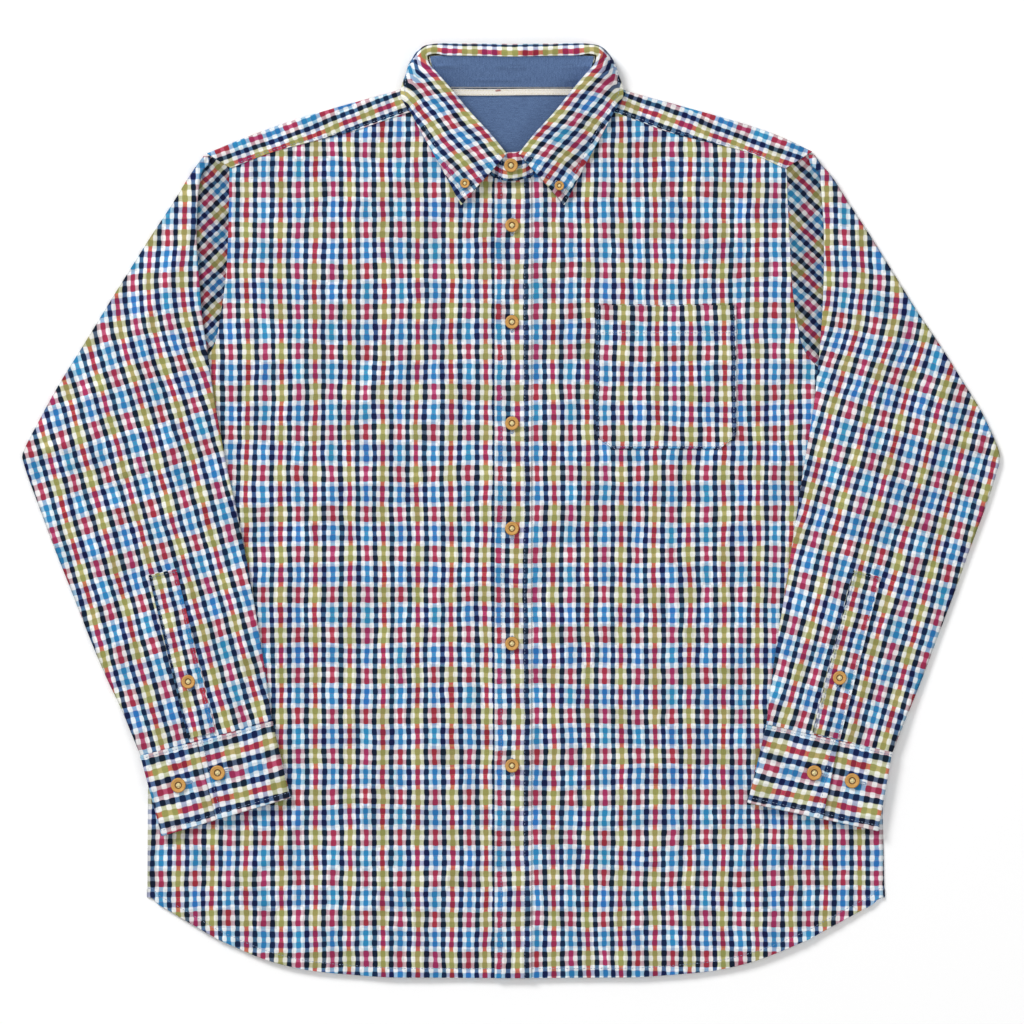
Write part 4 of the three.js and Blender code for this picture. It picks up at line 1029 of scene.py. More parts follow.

# Finer creases, placed after the photograph: x, y, turn, long, wide, high and bend.
BODY_CREASES = creases(
    (-116, 142, 82, 46, 5, 1.1, 0.5), (-104, 168, 95, 34, 4, 0.8, -0.4), (-126, 96, 74, 30, 4, 0.7),
    (-190, 60, 100, 52, 6, 0.9, 0.4), (-60, 40, 87, 44, 5, 0.7, -0.6), (-205, -90, 84, 60, 7, 1.0, 0.3),
    (-92, -70, 98, 48, 5, 0.8, 0.5), (-140, -170, 78, 56, 6, 0.9, -0.4), (-40, -140, 92, 38, 4.5, 0.7),
    (-178, -250, 64, 44, 6, 1.0, 0.6), (-236, -318, 32, 40, 5, 1.1, 0.3),
    (-204, -338, 18, 34, 4.5, 1.0, -0.4),
    (-150, -352, 8, 46, 5, 0.9, 0.5), (-84, -366, -6, 40, 4.5, 0.8), (-110, -300, 12, 30, 4, 0.7, -0.5),
    (-50, -318, 22, 36, 5, 0.8, 0.4), (36, -346, 4, 42, 4.5, 0.7, -0.3), (132, -18, 100, 46, 5, 1.0, 0.5),
    (118, -46, 88, 34, 4.5, 0.9, -0.5), (140, 30, 94, 28, 4, 0.7), (72, -252, 6, 34, 5, 1.1, 0.4),
    (58, -238, 12, 26, 4, 0.8, -0.4), (94, -268, 2, 38, 4.5, 0.8), (46, -190, 96, 40, 5, 0.8, 0.3),
    (172, -120, 82, 58, 6, 0.9, -0.4), (222, -40, 96, 50, 6, 0.8, 0.4), (208, -210, 104, 54, 6, 0.9, 0.3),
    (150, -320, -18, 44, 5, 0.9, 0.5), (236, -316, -36, 42, 5, 1.1, -0.4), (258, -286, -50, 30, 4.5, 0.9),
    (60, 20, 92, 48, 5, 0.6, 0.4), (196, 226, 70, 32, 4.5, 0.9, 0.5), (214, 250, 110, 26, 4, 0.8, -0.4),
    (70, 232, 64, 30, 4.5, 0.6), (-196, 232, 108, 34, 5, 0.8, 0.5), (-74, 236, 118, 30, 4.5, 0.7, -0.5),
    (-226, 180, 82, 40, 4, 0.8, 0.3), (226, 176, 98, 38, 4, 0.8, -0.3), (34, -60, 88, 40, 4, 0.6),
    (-30, 120, 90, 50, 4, 0.5), (182, -270, -8, 30, 4.5, 0.8, 0.4), (-262, -190, 88, 44, 6, 0.9, 0.4),
)
SLEEVE_CREASES = {
    Side.RIGHT: creases(
        (-300, 214, 64, 34, 5, 0.9, 0.5), (-322, 172, 56, 40, 6, 1.2, -0.4),
        (-352, 150, 60, 34, 4.5, 0.9, 0.4),
        (-300, 140, 100, 44, 5, 0.9, -0.5), (-384, 92, 38, 36, 6, 1.3, 0.6), (-400, 56, 12, 30, 5, 1.3, -0.5),
        (-372, 50, 22, 44, 6, 1.4, 0.4), (-392, 26, -4, 30, 4.5, 1.1), (-340, 34, 30, 38, 5, 1.0, -0.5),
        (-356, 2, 8, 40, 5.5, 1.2, 0.5), (-300, 64, 84, 40, 5, 0.8, 0.4), (-368, -34, -22, 30, 5, 1.1, -0.4),
        (-300, -10, 96, 46, 5, 0.8, 0.5), (-276, -60, 104, 44, 5, 0.9, -0.4),
        (-328, -80, 112, 34, 4.5, 0.8, 0.4),
        (-250, -110, 104, 46, 4, 1.0, 0.3), (-262, -150, 106, 34, 3.4, 1.3), (-247, -160, 103, 30, 3.2, 1.2),
        (-234, -150, 100, 36, 3.6, 0.9), (-304, -168, 114, 30, 3.4, 1.0, 0.3),
        (-318, -150, 112, 34, 3.8, 0.9, -0.3),
    ),
    Side.LEFT: creases(
        (302, 208, 118, 36, 5, 0.9, -0.5), (326, 168, 124, 40, 6, 1.2, 0.4),
        (350, 146, 118, 32, 4.5, 0.9, -0.4),
        (298, 132, 82, 44, 5, 0.9, 0.5), (382, 98, 142, 36, 6, 1.3, -0.5), (402, 58, 166, 30, 5, 1.2, 0.5),
        (368, 44, 156, 44, 6, 1.4, -0.4), (390, 18, 178, 30, 4.5, 1.1), (338, 28, 150, 38, 5, 1.0, 0.5),
        (352, -6, 170, 40, 5.5, 1.1, -0.5), (304, 70, 98, 42, 5, 0.8, 0.4), (366, -40, 198, 30, 5, 1.1, 0.4),
        (300, -20, 86, 46, 5, 0.8, -0.5), (280, -70, 78, 44, 5, 0.9, 0.4), (334, -86, 70, 34, 4.5, 0.8, -0.4),
        (256, -116, 78, 46, 4, 1.0, -0.3), (250, -160, 78, 32, 3.2, 1.3), (264, -166, 76, 30, 3.2, 1.1),
        (238, -152, 80, 36, 3.6, 0.9), (306, -166, 68, 30, 3.4, 1.0, -0.3),
        (322, -148, 70, 34, 3.8, 0.9, 0.3),
    ),
}


def side_x(side: Side, y: float) -> float:
    """The body's side edge at a height.

    Args:
        side: The side.
        y: The height in the plan.

    Returns:
        The edge's x.
    """
    s = SIDES[side]
    top = s.armhole[0]
    return lerp(s.hem_x[0], top[0], float(np.clip((y + 339) / (top[1] + 339), 0, 1)))


def panel_height(x: float, y: float) -> float:
    """The middle surface of a front panel, without its side roll."""
    side = Side.RIGHT if x < 0 else Side.LEFT
    inward = abs(side_x(side, y)) - abs(x)
    low = SIDE_ROLL + (PANEL_Z - SIDE_ROLL) * float(smooth(inward / 75))
    base = lerp(low, PANEL_Z, float(smooth((y - 120) / 60)))
    rise = 0.0
    for fx, fy, turn, long, wide, high in FOLDS:
        a = math.radians(turn)
        u = ((x - fx) * math.cos(a) + (y - fy) * math.sin(a)) / long
        w = ((y - fy) * math.cos(a) - (x - fx) * math.sin(a)) / wide
        rise += high * math.exp(-(u**4) - w * w)
    calm = (1 - smooth((y - 235) / 50)) * smooth((abs(x) - 16) / 30) * smooth((inward - 75) / 50)
    return base + rise * float(calm)


def half_turn(points: list, start: Array, out: Array, to_z: float, count: int, reach: float = 1e9) -> None:
    """Adds the points of a half turn in an upright plane.

    Args:
        points: The list they join.
        start: Where the turn starts.
        out: The plan direction in which it bulges.
        to_z: The height where it ends.
        count: How many points.
        reach: The most it may bulge.
    """
    mid, r = (start[2] + to_z) / 2, abs(to_z - start[2]) / 2
    way = -1 if to_z > start[2] else 1
    for n in range(1, count + 1):
        a = math.pi * n / (count + 1)
        o = min(r, reach) * math.sin(a)
        points.append((start[0] + out[0] * o, start[1] + out[1] * o, mid + way * r * math.cos(a)))


def turned_cloth(x: Array, y: Array, degrees: Array | float, pivot: Point = (0.0, 0.0)) -> Array:
    """Cloth coordinates with the warp turned in the plan.

    Args:
        x: Plan x.
        y: Plan y.
        degrees: How far the warp leans, to the left at the top.
        pivot: The point that keeps its place.

    Returns:
        The cloth coordinates, mm.
    """
    a = np.radians(degrees)
    dx, dy = x - pivot[0], y - pivot[1]
    u = dx * np.cos(a) + dy * np.sin(a) + pivot[0]
    v = dy * np.cos(a) - dx * np.sin(a) + pivot[1]
    return np.stack([u, v], axis=-1)


def calm_creases(creases: Sequence[Crease], x: Array, y: Array) -> Array:
    """The creases' rise and the cloth's unevenness at plan points."""
    rise = unevenness(x, y)
    for crease in creases:
        rise = rise + CREASE_SHARE * crease.lift(x, y)
    return rise


@dataclass
class Garment:
    """What all sub-assemblies share: finishes, finished sheets and lines to be stitched."""

    finishes: dict[str, bpy.types.Material]
    sheets: dict[str, Sheet] = field(default_factory=dict)
    seams: list[Array] = field(default_factory=list)
    tape_seams: list[Array] = field(default_factory=list)

    def add(
        self,
        sheet: Sheet,
        slot: str,
        nodes: Sequence[str],
        flat: Point,
        area: float,
        held: str = "laid",
        rests_on: Sequence[str] = (),
    ) -> bpy.types.Object:
        """Builds a sheet's piece and registers it.

        Args:
            sheet: The sheet.
            slot: The key of its finish.
            nodes: The CAD nodes that the piece stands for.
            flat: Width and length of the cut, metres; not used.
            area: The cut's area, square metres.
            held: How the cloth is held; not used.
            rests_on: What it lies on; not used.

        Returns:
            The piece.
        """
        piece = sheet.build(self.finishes[slot])
        self.sheets[sheet.name] = sheet
        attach(piece, "root")
        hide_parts(*nodes)
        half = sum(p.area for p in piece.data.polygons) / 2
        log.info("%s: %d faces, cloth %.4f m2, cut %.4f m2", piece.name, len(piece.data.polygons), half, area)
        return piece

    def stitch(self, *lines: Array) -> None:
        """Keeps lines for the top stitching."""
        self.seams.extend(lines)


# Body


@dataclass
class Body:
    """Both fronts, the button placket and the chest pocket."""

    garment: Garment
    rows: int = 18
    step: float = 3.9
    hem: float = 8.0
    placket_stitch: float = 5.5
    placket_stripes: float = 0.94
    pocket_box: tuple[float, float, float, float] = (74.0, 197.0, 181.5, 56.0)
    pocket_cut: float = 14.0
    pocket_hem: float = 24.0
    control: dict[Side, Array] = field(default_factory=dict)

    def front_control(self, side: Side) -> Array:
        """The control grid of a front panel.

        Args:
            side: The side.

        Returns:
            Points from the hem up and from the side edge inwards.
        """
        s, sign = SIDES[side], side.value
        tops = [*s.armhole, *s.yoke_seam[1:], *s.neckline[1:]]
        feet = [*s.hem_x, *(p[0] for p in s.yoke_seam[1:]), *(p[0] for p in s.neckline[1:])]
        centre = (*PLACKET_X[:2], PLACKET_X[2] - 0.6) if side is Side.RIGHT else (PLACKET_X[2] + 0.6,)
        tops += [(x, NECK_TOP_Y) for x in centre]
        feet += list(centre)
        inset = FLOOR_Z + SIDE_ROLL
        grid = []
        for j in range(self.rows + 1):
            v, row = j / self.rows, []
            for k, (top, foot) in enumerate(zip(tops, feet)):
                x, y = lerp(foot, top[0], v), lerp(table_y(HEM, foot), top[1], v)
                if k == 0:
                    slant = SIDE_ROLL * math.sqrt(0.5)
                    row += [
                        (x - sign * FLOOR_Z, y, 0.27),
                        (x - sign * (inset - slant), y, slant),
                        (x - sign * inset, y, SIDE_ROLL),
                    ]
                else:
                    row.append((x, y, panel_height(x, y)))
            grid.append(row)
        return np.array(grid, float)

    def on_fronts(self, x: float, y: float) -> float:
        """The fronts' middle surface over a plan point."""
        heights = [Relief(g, 2).at(x, y) or 0.0 for g in self.control.values()]
        return max(heights) or panel_height(x, y)

    def rise(self, x: Array, y: Array) -> Array:
        """The fine creases of the fronts, calm under the sleeves, the collar and the placket."""
        shown = np.ones_like(x)
        for side in Side:
            rows = SLEEVES[side]
            ys = [-290.0, -250.5] + [r[1] for r in reversed(rows)]
            xs = [abs(rows[-1][0]) + 60, 201.0] + [abs(r[0]) for r in reversed(rows)]
            inward = np.interp(y, ys, xs) - side.value * x
            hidden = 1 - smooth((inward + 6) / 14)
            hidden = hidden * (1 - smooth((-258 - y) / 25)) * (np.sign(x) == side.value)
            shown = shown * (1 - hidden)
        shown = shown * (1 - smooth((y - 262) / 30) * (1 - smooth((np.abs(x) - 110) / 50)))
        strip = 0.3 + 0.7 * smooth((np.abs(x) - 17) / 12)
        seam = pucker(y, np.abs(np.abs(x) - 16.0), 0.28)
        return (calm_creases(BODY_CREASES, x, y) * strip + seam) * shown

    def front(self, side: Side) -> Sheet:
        """One front panel's sheet.

        Args:
            side: The side.

        Returns:
            The sheet.
        """
        self.control[side] = self.front_control(side)
        fine, _, _ = refine(self.control[side], self.step, down=(welt_places(self.hem), ()))
        x, y = fine[..., 0], fine[..., 1]
        edge = np.abs(fine[:, :1, 0] - x)
        up = run_length(fine, 0)
        gathers = pucker(x, up, 0.3, 11.0) * smooth((edge - 4) / 10)
        fine[..., 2] += self.rise(x, y) * smooth((edge - 3) / 12) + gathers
        cloth = turned_cloth(x, y, 0.0) + np.array([3.1, 8.4])
        # Painted shade along the side edge, where the cloth rolls down to the floor.
        rolled = 0.3 * (1 - smooth((edge - 0.6) / 2.2))
        return Sheet(
            "front_" + side.word + "_cloth",
            fine,
            VISIBLE_CLOTH,
            cloth,
            extra=welt(up, self.hem, 0.45),
            shade=rolled,
        )

    def placket(self) -> Sheet:
        """The button placket's sheet, lying on the right front."""
        s, control = self.placket_stitch, self.control[Side.RIGHT][:, -3:].copy()
        control[..., 2] += 1.42
        control[:, -1, 0] += 1.7
        fine, _, _ = refine(control, 3.2, (welt_places(s), welt_places(s)), (welt_places(self.hem), ()))
        x, y = fine[..., 0], fine[..., 1]
        from_left, up = run_length(fine, 1), run_length(fine, 0)
        from_right = from_left[:, -1:] - from_left
        fine[..., 2] += self.rise(x, y) + pucker(y, np.minimum(from_left, from_right), 0.2, 5.0)
        extra = welt(from_left, s, 0.4) + welt(from_right, s, 0.4) + welt(up, self.hem, 0.3)
        cloth = turned_cloth(x, y, 0.0) * (self.placket_stripes, 1.0) + np.array([5.0, 8.9])
        return Sheet("placket_cloth", fine, VISIBLE_CLOTH, cloth, extra=extra)

    def pocket(self) -> Sheet:
        """The chest pocket's sheet, its foot corners cut off."""
        left, right, top, foot = self.pocket_box
        control = []
        for j in range(9):
            y = lerp(top, foot, min(j / 7, 1) * 0.89 + (0.11 if j == 8 else 0))
            inset = self.pocket_cut if j == 8 else 0.0
            xs = [lerp(left + inset, right - inset, i / 7) for i in range(8)]
            control.append([(x, y, self.on_fronts(x, y) + 1.45) for x in xs])
        fine, _, fi = refine(
            np.array(control),
            3.0,
            (welt_places(2.0), welt_places(2.0)),
            (welt_places(self.pocket_hem), welt_places(2.0)),
        )
        across, down = run_length(fine, 1), run_length(fine, 0)
        back, up = across[:, -1:] - across, down[-1:, :] - down
        edge = np.minimum(np.minimum(across, back), up)
        x, y = fine[..., 0], fine[..., 1]
        puff = 0.7 * smooth(edge / 26) * smooth(down / 14)
        fine[..., 2] += self.rise(x, y) + pucker(x + y, edge, 0.3, 3.0) + puff
        extra = welt(np.minimum(np.minimum(across, back), up), 2.0, 0.4) + welt(down, self.pocket_hem, 0.25)
        cloth = turned_cloth(x, y, 0.0) + np.array([2.0, 9.6])
        return Sheet("pocket_cloth", fine, VISIBLE_CLOTH, cloth, extra=extra)

    def build(self) -> None:
        """Builds the four pieces and their stitch lines."""
        g = self.garment
        for side in Side:
            front = self.front(side)
            g.add(
                front, "check_cotton", ["front_" + side.word], (0.345, 0.79), 0.235, rests_on=["back_cloth"]
            )
            g.stitch(front.along(Edge.DOWN_START, self.hem, 0.02, 0.995))
        placket = self.placket()
        g.add(placket, "check_cotton", ["placket"], (0.034, 0.702), 0.0226, rests_on=["front_right_cloth"])
        g.stitch(
            placket.along(Edge.ACROSS_START, self.placket_stitch),
            placket.along(Edge.ACROSS_END, self.placket_stitch),
        )
        pocket = self.pocket()
        g.add(pocket, "check_cotton", ["pocket"], (0.124, 0.127), 0.0152, rests_on=["front_left_cloth"])
        g.stitch(pocket.along(Edge.ACROSS_START, 2.0), pocket.along(Edge.ACROSS_END, 2.0))
        g.stitch(pocket.along(Edge.DOWN_END, 2.0), pocket.along(Edge.DOWN_START, self.pocket_hem))


@dataclass
class BackAndYoke:
    """The back panel, the yoke that rolls over the shoulders, its lining and the neck tape."""

    garment: Garment
    roll_steps: int = 4
    neck_back: tuple[float, ...] = (-60, -30, 0, 30, 60)
    neck_y: float = 372.6

    def columns(self) -> list[tuple[Side | None, int | float]]:
        """The yoke's columns: a side and its vertex, or the back neck's x."""
        right = [(Side.RIGHT, k) for k in range(6)]
        left = [(Side.LEFT, k) for k in range(5, -1, -1)]
        return right + [(None, x) for x in self.neck_back] + left

    @staticmethod
    def roll_foot(side: Side, k: int, extra: float = 0.0) -> tuple[float, float, float, float]:
        """Where the shoulder roll meets the flat cloth.

        Args:
            side: The side.
            k: The shoulder vertex.
            extra: How much further in.

        Returns:
            The plan point and the outward direction.
        """
        a, b = SIDES[side].shoulder[k], SIDES[side].yoke_seam[k]
        d = math.hypot(b[0] - a[0], b[1] - a[1])
        ux, uy = (b[0] - a[0]) / d, (b[1] - a[1]) / d
        reach = FLOOR_Z + SHOULDER_ROLL + extra
        return a[0] + ux * reach, a[1] + uy * reach, -ux, -uy

    def yoke(self) -> Sheet:
        """The yoke's sheet."""
        columns = self.columns()
        ends = SIDES[Side.RIGHT].seam_end[0], SIDES[Side.LEFT].seam_end[0]
        grid = []
        for j in range(5 + self.roll_steps):
            row = []
            for i, (side, k) in enumerate(columns):
                foot_x = lerp(ends[0], ends[1], i / (len(columns) - 1))
                x0, y0, ox, oy = self.roll_foot(side, k) if side else (k, self.neck_y, 0.0, 0.0)
                if j <= 2 or side is None:
                    v = min(j, 2) / 2
                    row.append((lerp(foot_x, x0, v), lerp(BACK_SEAM_Y, y0, v), FLOOR_Z))
                elif j <= 2 + self.roll_steps:
                    a = math.pi * (j - 2) / self.roll_steps
                    o = SHOULDER_ROLL * math.sin(a)
                    row.append(
                        (x0 + ox * o, y0 + oy * o, (PANEL_Z + FLOOR_Z) / 2 - SHOULDER_ROLL * math.cos(a))
                    )
                else:
                    v = (j - 2 - self.roll_steps) / 2
                    seam = SIDES[side].yoke_seam[k]
                    row.append(
                        (lerp(x0, seam[0] - ox * 1.2, v), lerp(y0, seam[1] - oy * 1.2, v), PANEL_Z + 0.75 * v)
                    )
            grid.append(row)
        fine, fj, fi = refine(np.array(grid, float), 3.5, down=((), welt_places(2.0)))
        first, last = 5.0, 10.0 + 1.0
        mid_i, mid_j = (fi[1:] + fi[:-1]) / 2, (fj[1:] + fj[:-1]) / 2
        gone = (mid_i[None, :] > first) & (mid_i[None, :] < last) & (mid_j[:, None] > 2)
        x, y = fine[..., 0], fine[..., 1]
        front = smooth((fj[:, None] - 2 - self.roll_steps) / 0.5) * np.ones_like(x)
        down = run_length(fine, 0)
        up = down[-1:, :] - down
        fine[..., 2] += (0.6 * unevenness(x, y) + pucker(x, up, 0.22, 2.0)) * front
        lean = np.where(x < 0, 20.0, -20.0) * smooth((fine[..., 2] - 1.2) / 2.5)
        cloth = np.where(
            x[..., None] < 0, turned_cloth(x, y, lean, (-170, 340)), turned_cloth(x, y, lean, (170, 340))
        )
        extra = welt(up, 2.0, 0.3) * front
        cloth = cloth[..., ::-1] * (1.0, 1.08) + (5.0, 1.0)
        return Sheet("yoke_cloth", fine, VISIBLE_CLOTH, cloth, (0.93, 0.15), ~gone, extra)

    def lining(self) -> Sheet:
        """The chambray yoke lining's sheet."""
        columns = self.columns()
        ends = SIDES[Side.RIGHT].seam_end[0] + 3, SIDES[Side.LEFT].seam_end[0] - 3
        grid = []
        for j in range(4):
            row = []
            for i, (side, k) in enumerate(columns):
                foot_x = lerp(ends[0], ends[1], i / (len(columns) - 1))
                x0, y0 = self.roll_foot(side, k, 1.6)[:2] if side else (k * 0.98, self.neck_y - 0.6)
                inset = -3 * side.value if side and k == 0 else 0.0
                row.append(
                    (
                        lerp(foot_x, x0 + inset, j / 3),
                        lerp(BACK_SEAM_Y + 4, y0, j / 3),
                        FLOOR_Z + CLOTH + LAYER_GAP,
                    )
                )
            grid.append(row)
        fine, _, _ = refine(np.array(grid, float), 4.0)
        x, y = fine[..., 0], fine[..., 1]
        down = run_length(fine, 0)
        fine[..., 2] += 0.5 * unevenness(x * 1.3, y) + pucker(x, down[-1:, :] - down, 0.2)
        return Sheet("yoke_lining_cloth", fine, VISIBLE_CLOTH, fine[..., :2].copy())

    def tape(self) -> Sheet:
        """The neck tape's sheet."""
        z = FLOOR_Z + 2 * (CLOTH + LAYER_GAP)
        grid = np.array([[(x, 371.8 - 5.2 * j, z) for x in (-57, -30, 0, 30, 57)] for j in (0, 1)], float)
        fine, _, _ = refine(grid, 1.3)
        fine[..., 2] += 0.12 * np.sin(fine[..., 0] / 4.3) + 0.1 * np.sin(fine[..., 0] / 11.0)
        fine[..., 1] += 0.25 * np.sin(fine[..., 0] / 19.0)
        return Sheet("neck_tape_cloth", fine, 0.8, fine[..., :2].copy())

    def back(self) -> Sheet:
        """The back panel's sheet, flat on the surface."""
        hole = {}
        for side in Side:
            s = SIDES[side]
            hole[side] = [
                (s.armhole[0][0] - 2 * side.value, s.armhole[0][1]),
                *s.armhole[1:7],
                (s.seam_end[0], BACK_SEAM_Y - SEAM_GAP),
            ]
        middle = [(x, BACK_SEAM_Y - SEAM_GAP) for x in (-160, -80, 0, 80, 160)]
        tops = [*hole[Side.RIGHT], *middle, *reversed(hole[Side.LEFT])]
        last = len(tops) - 1
        grid = []
        for j in range(7):
            row = []
            for i, top in enumerate(tops):
                x = top[0]
                if i <= 7:
                    x = lerp(-318.4, -249, i / 7)
                elif i >= last - 7:
                    x = lerp(325.4, 242, (last - i) / 7)
                row.append((lerp(x, top[0], j / 6), lerp(table_y(HEM, x) + 1.2, top[1], j / 6), FLOOR_Z))
            grid.append(row)
        fine, _, _ = refine(np.array(grid, float), 8.0, down=(welt_places(8.0), ()))
        x, y = fine[..., 0], fine[..., 1]
        return Sheet(
            "back_cloth",
            fine,
            VISIBLE_CLOTH,
            turned_cloth(x, y, 0.0),
            extra=welt(run_length(fine, 0), 8.0, 0.3),
        )

    def build(self) -> None:
        """Builds the four pieces and their stitch lines."""
        g = self.garment
        g.add(self.back(), "check_cotton", ["back"], (0.65, 0.68), 0.405)
        yoke = self.yoke()
        g.add(yoke, "check_cotton", ["yoke"], (0.54, 0.16), 0.064)
        g.stitch(yoke.along(Edge.DOWN_END, 2.0, 0.01, 0.365), yoke.along(Edge.DOWN_END, 2.0, 0.64, 0.99))
        g.add(self.lining(), "chambray", ["yoke_lining"], (0.51, 0.11), 0.042, rests_on=["yoke_cloth"])
        tape = self.tape()
        g.add(tape, "tape", ["neck_tape"], (0.114, 0.0105), 0.00065, rests_on=["yoke_lining_cloth"])
        g.tape_seams += [tape.along(Edge.DOWN_START, 0.9), tape.along(Edge.DOWN_END, 0.9)]


# Collar

# Band: foot x, y, z and top x, y, z from the centre back to the front.
BAND = (
    (0, 374.6, 2.6, 0, 399.5, 23), (30, 374.6, 2.6, 30, 399.8, 23.2), (55, 374.6, 3, 56, 400, 23),
    (63.5, 371.4, 5.6, 72, 399.4, 22.4), (62, 361, 7.4, 69.5, 389.5, 20.4), (54, 346, 7.4, 58.5, 377, 18.8),
    (44, 328.7, 7.4, 46.5, 361.5, 17.2), (31, 312, 7.6, 33, 345.5, 15.6), (19.5, 298, 7.8, 19, 330, 14.4),
)
BAND_END_UNDER = ((-8, 292, 7.3, -7, 316, 10.2), (6, 291.5, 7.2, 6, 312.5, 8.6))
BAND_END_OVER = (
    (6, 292, 11, 5, 316, 14.4), (-4, 291, 11.4, -4, 315.5, 14.3), (-12, 293, 11.6, -10.5, 312, 14.2)
)
# Leaf: fold, the roll's two handles and the edge.
LEAF_ROWS = (
    (0, 399.5, 25.2, 0, 13.5, 0, 17.5, 0, 398, 1.6), (30, 400, 25.4, 0, 13.5, 0, 17.5, 30, 398, 1.6),
    (57, 400.5, 25.4, 1, 13.5, 0, 17.5, 62, 398, 2), (67, 402, 25, 5, 9, 0, 14, 80, 399, 4),
    (74.5, 400, 24.4, 6, 2, 1, 6, 91.5, 386, 6.5), (73.5, 394.5, 23.8, 5.5, -4, -9, 9, 97.5, 368, 8.6),
    (64, 383, 22.4, 4.5, -5, -9, 10, 88, 349.8, 8.6), (51, 368, 20.6, 4, -6, -9, 10, 76.6, 328.7, 8.6),
    (36.5, 350.5, 19, 5.5, -8, -9, 11, 65, 308.5, 8.6), (19.5, 332.5, 17.8, 7, -9, -9, 11, 54.6, 289, 8.6),
    (5, 314.6, 17, 8, -10, -9, 11, 44.6, 270, 8.6),
)


